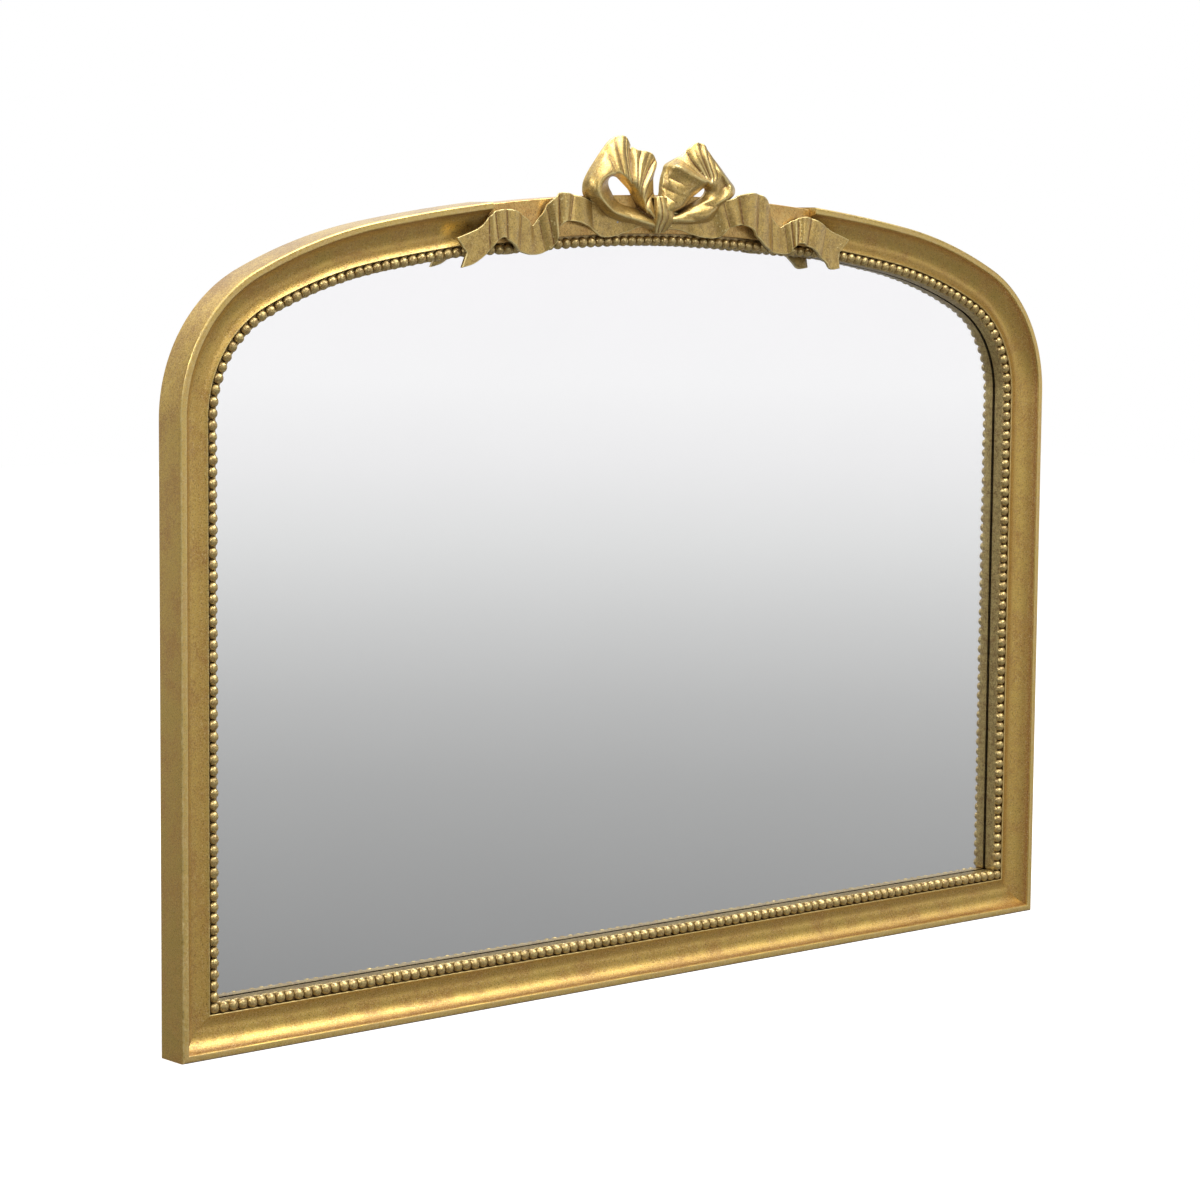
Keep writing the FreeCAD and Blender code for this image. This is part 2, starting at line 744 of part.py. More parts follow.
def button_places():
    """Pivot and direction of every turn button, as (x, z, angle that points into the frame)."""
    seat = size["button_seat"]
    places = []
    for side in (-1, 1):
        inwards = 180.0 if side > 0 else 0.0
        places.append((half_width * BOTTOM_BUTTON_SHARE * side, seat, 90.0))
        places.append(((half_width - seat) * side, spring * SIDE_BUTTON_SHARE, inwards))
        for centre_x, centre_z, radius, angle in (
            (shoulder_x, spring, size["shoulder_radius"], shoulder_angle * SHOULDER_BUTTON_SHARE),
            (as_size(0.0), crown_z, crown_radius,
             block_angle + (size["crown_angle"] - block_angle) * BLOCK_BUTTON_SHARE),
        ):
            reach = radius - seat
            x = (centre_x + reach * cosine(angle)) * side
            z = centre_z + reach * sine(angle)
            turn = angle.value + 180.0 if side > 0 else -angle.value
            places.append((x, z, turn))
    return places


def make_turn_buttons():
    """Eight turn buttons: flat plates that swing over the edge of the backing board."""
    for number, (x, z, angle) in enumerate(button_places(), start=1):
        body = new_body(f"turn_button_{number}")
        sketch = new_sketch(body, "outline", "XZ_Plane")
        low = -size["button_pivot_inset"]
        half = size["button_width"] / 2
        draw_box(sketch, low, low + size["button_length"], -half, half)
        draw_circle(sketch, 0, 0, size["button_bore_radius"], "bore")
        pad = add_pad(body, sketch, size["button_thickness"])
        doc.recompute()
        round_plate_corners(body, pad, size["button_corner"])
        put(body, x, button_back, z, -angle)


def round_plate_corners(body, pad, radius):
    """Round the short straight edges of a plate."""
    names = []
    for number, edge in enumerate(pad.Shape.Edges, start=1):
        straight = isinstance(edge.Curve, Part.Line)
        span = edge.BoundBox
        if straight and span.XLength < span.YLength and span.ZLength < span.YLength:
            names.append(f"Edge{number}")
    fillet = body.newObject("PartDesign::Fillet", "round_corners")
    fillet.Base = (pad, names)
    bind(fillet, "Radius", radius)
    body.Tip = fillet
    doc.recompute()


def part_object(kind, name, sizes, x=0, y=0, z=0, rotation=Rotation()):
    """A primitive with its sizes and its place bound to the sheet."""
    item = doc.addObject(f"Part::{kind}", name)
    for key, amount in sizes.items():
        bind(item, key, amount)
    base = [as_size(amount) for amount in (x, y, z)]
    item.Placement = Placement(Vector(*[amount.value for amount in base]), rotation)
    for axis, amount in zip("xyz", base):
        item.setExpression(f"Placement.Base.{axis}", amount.formula)
    return item


def make_screws(label, places, seat_y, head, shank_radius, length):
    """Slotted wood screws driven in from the back: head sizes are (low radius, top radius, height)."""
    into_frame = Rotation(Vector(1, 0, 0), 90)
    out_of_frame = Rotation(Vector(1, 0, 0), -90)
    low_radius, top_radius, height = head
    screws = []
    for number, (x, z) in enumerate(places):
        name = f"{label}_{number}"
        shank_sizes = {"Radius": shank_radius, "Height": length}
        shank = part_object("Cylinder", f"{name}_shank", shank_sizes, x, seat_y, z, into_frame)
        head_sizes = {"Radius1": low_radius, "Radius2": top_radius, "Height": height}
        top = part_object("Cone", f"{name}_head", head_sizes, x, seat_y, z, out_of_frame)
        whole = doc.addObject("Part::Fuse", f"{name}_blank")
        whole.Base = shank
        whole.Tool = top
        half_slot = size["slot_width"] / 2
        slot_y = seat_y + height - size["slot_depth"]
        slot_sizes = {"Length": top_radius * 2, "Width": size["slot_depth"] * 2, "Height": half_slot * 2}
        slot = part_object("Box", f"{name}_slot", slot_sizes, x - top_radius, slot_y, z - half_slot)
        screw = doc.addObject("Part::Cut", name)
        screw.Base = whole
        screw.Tool = slot
        screws.append(screw)
    group(label, screws)


def group(label, items):
    """Several solids of one kind as one sub-part."""
    compound = doc.addObject("Part::Compound", label)
    compound.Label = label
    compound.Links = items


def make_dowels():
    """Two dowels in each butt joint of the arch."""
    joints = [
        (shoulder_x, spring, size["shoulder_radius"], as_size(0.0)),
        (shoulder_x, spring, size["shoulder_radius"], shoulder_angle),
        (as_size(0.0), crown_z, crown_radius, block_angle),
    ]
    y = back - size["dowel_inset"]
    dowels = []
    for side in (-1, 1):
        for centre_x, centre_z, radius, angle in joints:
            for number in range(2):
                reach = radius - size["dowel_inset"] - size["dowel_spacing"] * number
                half = size["dowel_length"] / 2
                x = (centre_x + reach * cosine(angle) + half * sine(angle)) * side
                z = centre_z + reach * sine(angle) - half * cosine(angle)
                along = Rotation(Vector(0, 1, 0), -angle.value * side)
                sizes = {"Radius": size["dowel_radius"], "Height": size["dowel_length"]}
                name = f"dowel_{len(dowels) + 1}"
                dowels.append(part_object("Cylinder", name, sizes, x, y, z, along))
    group("arch_dowels", dowels)


def make_mitre_nails():
    """Two V nails across each mitre, driven in flush with the back."""
    body = new_body("mitre_nails")
    sketch = new_sketch(body, "layout", "XZ_Plane")
    leg = size["nail_leg"]
    gauge = size["nail_gauge"]
    for side in (-1, 1):
        for number in range(2):
            inset = size["nail_inset"] + size["nail_spacing"] * number
            x = (half_width - inset) * side
            outline = [
                (x, inset),
                (x - leg * side, inset),
                (x - leg * side, inset + gauge),
                (x - gauge * side, inset + gauge),
                (x - gauge * side, inset + leg),
                (x, inset + leg),
            ]
            draw_loop(sketch, outline, f"nail_{side_word(side)}_{number}")
    add_pad(body, sketch, size["nail_depth"])
    put(body, 0, back, 0)


def hanger_x(side):
    return (half_width - size["hanger_inset"]) * side


def hanger_screw_heights():
    first = -size["hanger_first_screw"]
    return [first, first - size["hanger_screw_spacing"]]


def make_hanger_strap(side):
    """A strap with a rolled eye for the ring and two countersunk holes below it."""
    body = new_body(f"{side_word(side)}_hanger_strap")
    eye = new_sketch(body, "eye", "YZ_Plane")
    draw_circle(eye, eye_outer_radius, 0, eye_outer_radius, "outside")
    draw_circle(eye, eye_outer_radius, 0, eye_inner_radius, "inside")
    add_pad(body, eye, size["strap_width"], "rolled_eye", centred=True)
    plate = new_sketch(body, "plate", "YZ_Plane")
    draw_box(plate, 0, size["strap_thickness"], -size["strap_length"], -eye_inner_radius)
    add_pad(body, plate, size["strap_width"], "flat", centred=True)
    doc.recompute()
    for number, height in enumerate(hanger_screw_heights()):
        hole = new_sketch(body, f"screw_hole_{number}_section", "YZ_Plane")
        over = size["cut_overrun"]
        radius = size["hanger_screw_radius"] + size["dowel_play"]
        head = size["hanger_screw_head"] + size["dowel_play"]
        draw_loop(hole, [
            (size["strap_thickness"] + over, height),
            (size["strap_thickness"] + over, height + head),
            (size["strap_thickness"], height + head),
            (as_size(0), height + radius),
            (-over, height + radius),
            (-over, height),
        ])
        before = body.Shape.Volume
        groove = body.newObject("PartDesign::Groove", f"screw_hole_{number}")
        groove.Profile = hole
        groove.ReferenceAxis = (hole, ["Edge1"])
        bind(groove, "Angle", size["full_turn"])
        body.Tip = groove
        doc.recompute()
        if not body.Shape.Volume < before:
            raise RuntimeError(f"{body.Label}: a screw hole cuts nothing")
    put(body, hanger_x(side), back, hanger_z)


def make_hanger_ring(side):
    """A D-shaped ring of round wire that hangs from the strap's eye."""
    body = new_body(f"{side_word(side)}_hanger_ring")
    half = size["ring_half_width"]
    corner = size["ring_corner_radius"]
    straight = -size["ring_straight"]
    path = new_sketch(body, "path", "XZ_Plane")
    draw_loop(path, [
        (0, 0),
        (-half + corner, 0),
        (-half, -corner, corner, 1),
        (-half, straight),
        (as_size(0), straight - half, half, 1),
        (half, straight, half, 1),
        (half, -corner),
        (half - corner, 0, corner, 1),
    ])
    wire = new_sketch(body, "wire", "YZ_Plane")
    draw_circle(wire, 0, 0, size["ring_wire_radius"])
    doc.recompute()
    bent = body.newObject("PartDesign::AdditivePipe", "bent_wire")
    bent.Profile = wire
    bent.Spine = (path, [])
    body.Tip = bent
    put(body, hanger_x(side), back + eye_outer_radius, hanger_z)


def make_bumpers():
    """Two pads at the back of the bottom rail that keep the mirror off the wall."""
    body = new_body("wall_bumpers")
    sketch = new_sketch(body, "layout", "XZ_Plane")
    for side in (-1, 1):
        place = (half_width - size["bumper_inset"]) * side
        draw_circle(sketch, place, size["bumper_rise"], size["bumper_radius"], f"bumper_{side_word(side)}")
    add_pad(body, sketch, size["bumper_height"])
    put(body, 0, back + size["bumper_height"], 0)


def make_knot():
    """The knot of the bow, half a barrel that stands upright against the block."""
    body = new_body("bow_knot")
    bulge = size["knot_bulge"]
    sketch = new_sketch(body, "outline", "XZ_Plane")
    draw_loop(sketch, [
        (as_size(0), as_size(0)),
        (size["knot_foot"], as_size(0)),
        (size["knot_belly"], size["knot_belly_height"], bulge, 1),
        (size["knot_top"], size["knot_height"], bulge, 1),
        (as_size(0), size["knot_height"]),
    ])
    add_revolution(body, sketch, "V_Axis", size["full_turn"] / 2, "barrel", backwards=True)
    put(body, 0, block_face, bow_z - size["knot_height"] / 2)


def edge_point(side, unit, base_y, shares):
    """A point of a ribbon's edge from its shares across, up and out."""
    across, up, out = shares
    x = across * unit * side
    return Vector(x, base_y - out * unit, bow_z.value + up * unit)


def ribbon(label, side, table, unit, base_y, offsets):
    """A band lofted through the stations of a table, thickened by one offset at each station."""
    sections = []
    for shares, offset in zip(table, offsets):
        first = edge_point(side, unit, base_y, shares[:3])
        second = edge_point(side, unit, base_y, shares[3:])
        shift = Vector(offset.x * side, offset.y, offset.z)
        sections.append(Part.makePolygon([first, second, second + shift, first + shift, first]))
    feature = doc.addObject("Part::Feature", label)
    feature.Label = label
    feature.Shape = Part.makeLoft(sections, True, True)
    feature.Placement = Placement(Vector(0, 0, 0), Rotation())


def make_tail(side):
    """A ribbon tail that waves outwards from the knot and rests on the block in its valleys."""
    thickness = size["tail_thickness"].value
    offsets = [Vector(0, thickness, 0)] * len(TAIL_SHARES)
    base_y = block_face.value - thickness
    ribbon(f"{side_word(side)}_ribbon_tail", side, TAIL_SHARES, size["tail_reach"].value, base_y, offsets)


def make_loop(side):
    """A loop of the bow: a band that leaves the knot, goes round its hole and comes back."""
    unit = size["loop_rise"].value
    thickness = size["loop_thickness"].value
    base_y = block_face.value - thickness
    fronts = [edge_point(1, unit, base_y, shares[:3]) for shares in LOOP_SHARES]
    outers = [edge_point(1, unit, base_y, shares[3:]) for shares in LOOP_SHARES]
    middles = [(one + other) * 0.5 for one, other in zip(fronts, outers)]
    offsets = []
    last = len(middles) - 1
    for number in range(len(middles)):
        along = middles[min(number + 1, last)] - middles[max(number - 1, 0)]
        inwards = along.cross(outers[number] - fronts[number])
        inwards.normalize()
        offsets.append(inwards * thickness)
    ribbon(f"bow_{side_word(side)}_loop", side, LOOP_SHARES, unit, base_y, offsets)


def make_pins():
    """Pins that hold the bow to the block, driven in from the front under the ribbon."""
    body = new_body("ornament_pins")
    sketch = new_sketch(body, "layout", "XZ_Plane")
    reach = crown_radius - size["pin_inset"]
    for number, across in enumerate(PIN_SHARES):
        x = size["tail_reach"] * across
        z = crown_z + reach * sine(arc_cosine(x / reach))
        draw_circle(sketch, x, z, size["pin_radius"], f"pin_{number}")
    add_pad(body, sketch, size["pin_length"])
    put(body, 0, block_face + size["pin_length"] - size["tail_thickness"] / 2, 0)


def make_everything():
    make_bottom_rail()
    make_bottom_slip()
    make_crown_block()
    for side in (-1, 1):
        make_stile(side)
        make_shoulder(side)
        make_crown_rail(side)
        make_side_slip(side)
        make_shoulder_slip(side)
        make_crown_slip(side)
        make_hanger_strap(side)
        make_hanger_ring(side)
        make_tail(side)
        make_loop(side)
    make_sheet("mirror_glass", glass_edge, size["glass_thickness"], glass_back)
    make_sheet("backing_board", glass_edge, size["board_thickness"], glass_back + size["board_thickness"])
    make_setting_pads()
    make_dowels()
    make_mitre_nails()
    make_turn_buttons()
    pivots = [(x, z) for x, z, _ in button_places()]
    head = size["screw_head_radius"]
    pan_head = (head, head * PAN_HEAD_SHARE, size["screw_head_height"])
    head_seat = button_back + size["seat_clearance"]
    screw_length = size["button_screw_length"] + size["button_thickness"]
    make_screws("turn_button_screws", pivots, head_seat, pan_head, size["button_screw_radius"], screw_length)
    heights = hanger_screw_heights()
    places = [(hanger_x(side), hanger_z + height) for side in (-1, 1) for height in heights]
    flush_head = (size["hanger_screw_radius"], size["hanger_screw_head"], size["strap_thickness"])
    make_screws("hanger_screws", places, back, flush_head, size["hanger_screw_radius"],
                size["hanger_screw_length"])
    make_bumpers()
    make_knot()
    make_pins()


def check_objects():
    """Stop if any object failed to build."""
    for item in doc.Objects:
        if "Invalid" in item.State or "Error" in item.State:
            raise RuntimeError(f"{item.Label} is {item.State}")


def write_parts():
    """Write each sub-part to its own file."""
    os.makedirs("parts", exist_ok=True)
    inner = set()
    for item in doc.Objects:
        if item.TypeId == "Part::Compound":
            inner.update(screw.Name for screw in item.Links)
        if item.TypeId in ("Part::Fuse", "Part::Cut"):
            inner.update((item.Base.Name, item.Tool.Name))
    kinds = ("PartDesign::Body", "Part::Compound", "Part::Feature")
    parts = [item for item in doc.Objects if item.TypeId in kinds and item.Name not in inner]
    for item in parts:
        shape = item.Shape
        if shape.isNull() or not shape.isValid() or not shape.Solids:
            raise RuntimeError(f"{item.Label} has no valid solid")
    for item in parts:
        item.Shape.exportStep(f"parts/{item.Label}.step")
        print(f"{item.Label}: {len(item.Shape.Solids)} solids, {item.Shape.Volume:.0f} mm3")


make_everything()
doc.recompute()
check_objects()
write_parts()
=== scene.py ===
import json
import math
import random

import bmesh
import bpy
from bpy.props import FloatProperty, FloatVectorProperty, PointerProperty
from mathutils import Matrix, Vector


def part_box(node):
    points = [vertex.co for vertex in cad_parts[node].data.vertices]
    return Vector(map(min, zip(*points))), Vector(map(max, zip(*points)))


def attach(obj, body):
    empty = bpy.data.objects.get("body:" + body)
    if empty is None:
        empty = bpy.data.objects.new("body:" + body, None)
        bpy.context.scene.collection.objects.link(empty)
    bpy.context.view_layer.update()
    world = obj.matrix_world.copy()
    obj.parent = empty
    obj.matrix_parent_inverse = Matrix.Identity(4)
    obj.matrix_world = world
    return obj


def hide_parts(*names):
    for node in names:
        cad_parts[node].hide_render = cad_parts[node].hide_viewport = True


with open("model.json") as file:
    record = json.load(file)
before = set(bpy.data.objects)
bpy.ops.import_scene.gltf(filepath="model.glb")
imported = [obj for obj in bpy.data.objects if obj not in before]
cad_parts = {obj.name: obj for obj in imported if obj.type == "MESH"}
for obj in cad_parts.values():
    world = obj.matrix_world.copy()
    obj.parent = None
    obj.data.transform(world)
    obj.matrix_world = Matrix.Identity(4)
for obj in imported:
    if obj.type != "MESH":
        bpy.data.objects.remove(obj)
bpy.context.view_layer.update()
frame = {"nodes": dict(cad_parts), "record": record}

bl_info = {
    "name": "Arched Overmantel Mirror",
    "version": (1, 0, 0),
    "blender": (4, 5, 0),
    "location": "3D View > Sidebar > Mirror",
    "description": "Gilded moulding, beaded slip, silvered glass and a ribbon bow",
    "category": "Object",
}

MM = 0.001
BODY = "mirror"

# the camera, found from the outline of the frame in the photograph; angles in degrees
PICTURE_SIZE = 1200
SENSOR_MM = 36.0
LENS_MM = 102.7
CAMERA_PLACE = Vector((-2.002, -2.220, 0.653))
CAMERA_YAW, CAMERA_PITCH, CAMERA_ROLL = 41.274, -6.054, 0.513

# the arch, in millimetres and degrees: straight sides, a tight shoulder, a haunch and a nearly
# flat crown
HALF_WIDTH = 500.0
SPRING = 508.0
SHOULDER_RADIUS = 130.0
HAUNCH_RADIUS = 465.0
SHOULDER_ANGLE = 64.2
HAUNCH_ANGLE = 79.8
CROWN_ANGLE = 90.0
BLOCK_HALF_WIDTH = 188.0
# how far from a corner the straight stations start, past the whole width of the mitre
MITRE_REACH = 46.0

# depths through the frame, in millimetres from its middle, with the viewer on the minus side
FRONT = -15.0
BLOCK_FACE = -7.5
BEAD_DEPTH = -1.9
SLIP_FACE = -1.4
REBATE_FRONT = 0.2
SLIP_BACK = 8.4
BACK = 15.0

# insets, in millimetres inwards from the outer line of the frame
REBATE_EDGE = 26.9
GLASS_EDGE = 28.4
MOULDING_EDGE = 33.4
BEAD_INSET = 38.1
SIGHT_LINE = 42.6

# the silvering lies so far in front of the board, so that the two never share a plane
SILVER_GAP = 0.1

# each bead: sides round it, rings from its top, and how far round the rings go in degrees
BEAD_SIDES, BEAD_RINGS, BEAD_WRAP = 20, 11, 150.0
# under the block the row of beads sinks by CROWN_SAG, over SAG_REACH inwards from SAG_START
CROWN_SAG, SAG_START, SAG_REACH = 3.3, 235.0, 90.0

# how the gilding across the moulding is worn and painted, by the inset: 1 is worn bright with a
# painted highlight, -1 is glazed dark with painted shade, as at the step into the cove and towards
# the lip
MOULDING_WEAR_AND_PAINTED_LIGHT = [
    (0.0, 0.1), (0.7, 0.7), (1.6, 0.35), (4.6, 0.3), (5.5, 0.7), (6.2, -0.3), (6.6, -1.0),
    (8.5, -0.6), (12.0, -0.2), (17.0, 0.0), (22.0, -0.1), (26.0, -0.45), (31.0, -0.3),
    (32.2, 0.3), (32.9, 0.8), (33.5, 0.3),
]

# the ribbon tails, read from the photograph from the knot outwards: each station is a point of
# the upper edge (across, down, millimetres out from the block) and one of the lower edge
LEFT_TAIL = [
    ((655, 212, 5), (652, 226, 4)),
    ((640, 212, 5), (639, 227.5, 3)),
    ((625, 211, 4), (627.6, 232.5, 2.8)),
    ((611, 208, 3), (613.6, 236.9, 2.5)),
    ((601, 204, 3), (602, 236.3, 2.5)),
    ((592, 200.5, 6), (594.4, 229, 6)),
    ((584.5, 197.3, 9), (583, 222.9, 11)),
    ((575.7, 193.8, 12), (572.7, 220.8, 13)),
    ((566.5, 192.2, 13), (566.5, 223.9, 13)),
    ((558.4, 196.3, 11), (560.4, 236.1, 10)),
    ((550, 203.5, 8), (557.3, 244.3, 7)),
    ((543.1, 214.7, 5), (550.2, 250.4, 4)),
    ((537, 222, 2.8), (542, 254, 2.6)),
    ((532.9, 225.5, 2.2), (533.9, 255, 2.2)),
    ((529.8, 219.8, 4), (527.8, 254, 4)),
    ((523.7, 213.7, 8), (521.6, 250.4, 8)),
    ((515.5, 209.6, 11), (515.5, 243.3, 11)),
    ((506.3, 209.1, 12), (508, 237.3, 12)),
    ((497.1, 211.6, 10.5), (500.2, 241.2, 11)),
    ((491, 216.7, 8), (492, 250, 8)),
    ((480.8, 226.9, 6), (483.9, 257, 6)),
    ((469.6, 232.6, 5), (474, 264, 5)),
    ((457.3, 237.7, 4.5), (462, 268, 4.5)),
]
RIGHT_TAIL = [
    ((668, 212, 5), (664, 229, 4)),
    ((680, 213, 5), (681, 230.5, 3)),
    ((693, 212, 4), (694, 235, 2.6)),
    ((706, 210, 3), (706.7, 238.2, 2.5)),
    ((714.3, 207, 4), (720.7, 237.6, 3)),
    ((722, 202, 7), (729.6, 229.9, 7)),
    ((733.3, 199, 9), (738.4, 226.1, 11)),
    ((742, 195.8, 11), (746.5, 225.1, 13)),
    ((751.6, 193, 12.5), (752.7, 228.2, 13)),
    ((758.8, 193.5, 12.5), (757.8, 233.3, 12)),
    ((764.9, 196, 11), (762, 240, 10)),
    ((768.5, 201, 8.5), (766, 246, 7.5)),
    ((771, 210, 6), (771, 250, 5)),
    ((775, 220, 3), (776.1, 253.2, 3)),
    ((781.2, 227.1, 2.2), (783.3, 254.2, 2.2)),
    ((787.3, 224.1, 3.5), (791.4, 253.5, 3.5)),
    ((793.5, 221, 6), (796, 248.5, 7)),
    ((799.6, 219, 9), (799.6, 245.5, 10)),
    ((806.7, 216.9, 11), (804.7, 243.5, 12)),
    ((813.9, 218, 11.5), (809.8, 245.5, 12)),
    ((820, 221, 10.5), (815.9, 249.6, 10)),
    ((827.1, 226.1, 8), (822, 256.7, 8)),
    ((833.3, 231.7, 6.5), (827.1, 262.9, 6.5)),
    ((840.4, 235.3, 5.5), (831.2, 269.5, 5)),
    ((849.6, 239.9, 5), (840, 268.5, 4.5)),
]
# creases across each tail: station, width in stations and depth in millimetres
LEFT_TAIL_CREASES = [
    (2.2, 0.35, 0.7), (3.3, 0.35, 0.9), (4.8, 0.4, 1.1), (6.9, 0.35, 1.8), (8.3, 0.4, 2.2),
    (10.2, 0.35, 0.9), (11.4, 0.35, 1.1), (12.4, 0.35, 0.8), (14.8, 0.4, 1.3), (16.5, 0.4, 1.7),
    (17.8, 0.35, 1.3), (19.0, 0.35, 0.8),
]
RIGHT_TAIL_CREASES = [
    (1.6, 0.35, 0.7), (3.6, 0.4, 1.0), (5.4, 0.35, 1.2), (7.1, 0.35, 2.0), (9.4, 0.4, 1.2),
    (12.6, 0.35, 0.8), (14.6, 0.4, 1.1), (16.1, 0.35, 1.2), (17.4, 0.4, 1.7), (19.2, 0.4, 1.6),
    (21.2, 0.4, 0.8),
]
# the swallow tail: how deep its notch is and over how many stations it opens
TAIL_NOTCH_MM = 8.0
TAIL_NOTCH_STATIONS = 2.2
TAIL_THICKNESS_MM = 2.8
# the least that a tail stands out from the block
TAIL_CLEARANCE_MM = 0.8
# all creases are cut so many times deeper than they were read, because the casting softens them
CREASE_SCALE = 3.0

# the loops of the bow, read the same way: stations round each loop, each a row of points from
# its outer edge over the rim into the hole
LEFT_LOOP = [
    ((656.5, 231, 5), (656, 228, 8), (655.5, 225, 10), (655, 219.5, 8), (654, 213, 3)),
    ((646, 228, 3.5), (646, 225, 8), (646.5, 222.3, 11), (644.5, 216, 8), (642.5, 209.5, 1.5)),
    ((636.5, 224.8, 3), (637, 222, 9), (637.5, 219.5, 12), (634.5, 213.3, 8), (631.4, 206.9, 1)),
    ((622, 221.5, 3), (624, 218.5, 9), (626, 215.8, 12.5), (623.8, 210.5, 8), (621.2, 203.8, 1)),
    ((608.5, 215.5, 3), (611, 212, 9), (614.5, 211.5, 13), (615, 205.5, 8), (614.8, 198, 1)),
    ((596.5, 204.5, 2.5), (601, 202, 9), (605.5, 202, 13), (609.5, 197.5, 8), (611.5, 191.8, 1)),
    ((585.5, 196, 1.5), (592, 193.5, 8), (600, 192.5, 13), (605, 191, 8), (609.2, 187.2, 1)),
    ((584, 184, 1), (590.5, 180, 7), (600.3, 184.3, 13), (604.6, 184, 8), (608.4, 182.2, 1)),
    ((588.8, 172, 1), (595.5, 170, 7), (605, 177.2, 13), (607.6, 178.6, 8), (609.6, 178.2, 1)),
    ((595.5, 161, 1), (602.5, 161, 7), (611, 173.4, 13), (612, 175, 8), (612.6, 176.4, 1)),
    ((602.5, 150.5, 1), (608.5, 155.5, 6.5), (616, 171.8, 13), (616.3, 174.2, 8), (616, 176.6, 1)),
    ((609.7, 140.6, 0.5), (614, 152, 6.5), (620.6, 171, 13), (620, 174.8, 8), (619, 178, 1)),
    ((618, 135.6, 0), (620.2, 149.5, 7), (625.6, 172.8, 13), (623.6, 177.6, 8), (622, 181.4, 1)),
    ((626.5, 136.3, 0), (627, 150.5, 7), (629.8, 175, 13), (627, 181, 8), (625, 184.6, 1)),
    ((631.3, 144, 0), (631.8, 156, 4.5), (633.6, 177.6, 12.5), (630.4, 184, 8), (627.6, 187.4, 1)),
    ((637.5, 149.4, 0), (637.4, 160.5, 6.5), (637.6, 179.8, 12.5), (634, 187.3, 8),
     (630, 190.4, 1)),
    ((645.5, 150.6, 0), (643.4, 162.3, 7), (640.6, 181.2, 12.5), (637, 190.4, 8), (631.6, 194, 1)),
    ((653.4, 153.6, 0), (649.4, 166, 6), (643, 183.4, 12), (639.3, 194.2, 8), (633, 198, 1)),
    ((657.6, 162.3, 0.5), (652.9, 171.2, 7), (645, 187.5, 12), (641, 199.2, 8), (635.2, 202.6, 1)),
    ((654.8, 173.8, 1.5), (651.2, 179.5, 8), (645.6, 193.6, 12), (642.3, 203.6, 8),
     (637.8, 207, 1.5)),
    ((653.9, 183, 2), (650.2, 189.1, 8), (646, 200, 12), (644.2, 208.3, 8), (641, 211.2, 2)),
    ((654.5, 192, 2.5), (651, 198, 9), (647.4, 206.2, 12), (647.2, 212.8, 9), (646, 215.2, 3)),
    ((656, 200, 3), (653.4, 205, 9), (651, 211.4, 12), (652, 216.4, 9), (652.6, 218.8, 4)),
    ((658, 207, 4), (656.6, 212, 9), (655.4, 217.2, 11), (656, 221, 9), (657, 223.6, 4)),
]
RIGHT_LOOP = [
    ((660.8, 198, 4), (664, 203.6, 9), (667.4, 208.5, 12), (671, 212, 11), (674, 213, 6)),
    ((662.3, 192.9, 4), (668, 197.4, 10), (674.2, 202.4, 13), (681, 206.6, 11), (685.6, 205.6, 5)),
    ((662.8, 185.3, 4), (671, 188.6, 10), (679.9, 192.9, 13.5), (688, 197, 11.5),
     (692.4, 197.6, 5)),
    ((664, 177.6, 4), (672.4, 179.8, 10.5), (682.4, 184.4, 13), (692.4, 190.8, 12),
     (695.6, 195, 5)),
    ((666.1, 170.6, 4), (675.2, 172, 11), (687.4, 179.6, 13), (698.6, 186.2, 12.5),
     (699.4, 191.8, 5)),
    ((668.4, 164.4, 4), (678.6, 166, 12.5), (692.6, 174.6, 14.5), (704.6, 182.6, 14),
     (703.8, 188, 5)),
    ((675.4, 159, 1.5), (684, 163.6, 8), (697.4, 173.6, 11), (706.4, 181.4, 13.5), (704.8, 187, 5)),
    ((683.7, 154.3, 0.5), (691.6, 163, 6.5), (703, 174.8, 10), (707.8, 181.4, 13),
     (705.4, 186.8, 5)),
    ((690.1, 147, 0), (697.4, 160, 6.5), (707, 176.4, 10), (709.2, 182.1, 12.5), (705.8, 187.2, 5)),
    ((697.8, 142.4, 0), (703, 158, 6.5), (710.6, 178, 10), (709.9, 183.3, 12), (706.3, 187.8, 4)),
    ((705.4, 144.8, 0), (708.6, 159, 6.5), (713.8, 178, 10), (711.2, 184.6, 11), (706.7, 188.4, 3)),
    ((710, 152.1, 0), (713.2, 164, 6), (716.9, 177, 9), (712.4, 185.6, 9), (706.7, 189.3, 2)),
    ((717.5, 163, 0.5), (719.6, 169.9, 7), (719.8, 177.4, 8), (713.7, 186.8, 8),
     (706.4, 190.4, 1.5)),
    ((725.8, 174.6, 1), (727, 178.6, 8), (723.4, 182.4, 6), (715.6, 189.1, 7), (706, 191.6, 1.5)),
    ((734.5, 186.5, 2), (732.2, 187, 9), (725.8, 189.6, 7), (715.6, 193, 6.5), (704.8, 194.2, 1.5)),
    ((734.4, 195, 3), (729.8, 196, 9), (722, 196.9, 8), (711.8, 198, 6.5), (701.6, 197.6, 1.5)),
    ((726.4, 202.6, 3), (720.9, 203.6, 9), (713.1, 203.4, 8.5), (704.1, 202, 6.5),
     (696.5, 200.4, 1.5)),
    ((718, 212, 3), (713.4, 211.6, 10), (705.6, 209, 10), (696.5, 205.8, 7), (689, 204.8, 1.5)),
    ((710.5, 221.4, 3), (704.4, 219, 11), (695.4, 214.4, 11), (687.4, 210.8, 7), (681.4, 210.2, 2)),
    ((695, 224, 3), (690, 221.8, 10), (683.8, 218.4, 11), (678.6, 214.8, 8), (675, 213.6, 3)),
    ((675, 224.4, 4), (673.6, 221.8, 9), (672.2, 219, 10), (671.2, 216.4, 8), (670, 214.6, 4)),
]
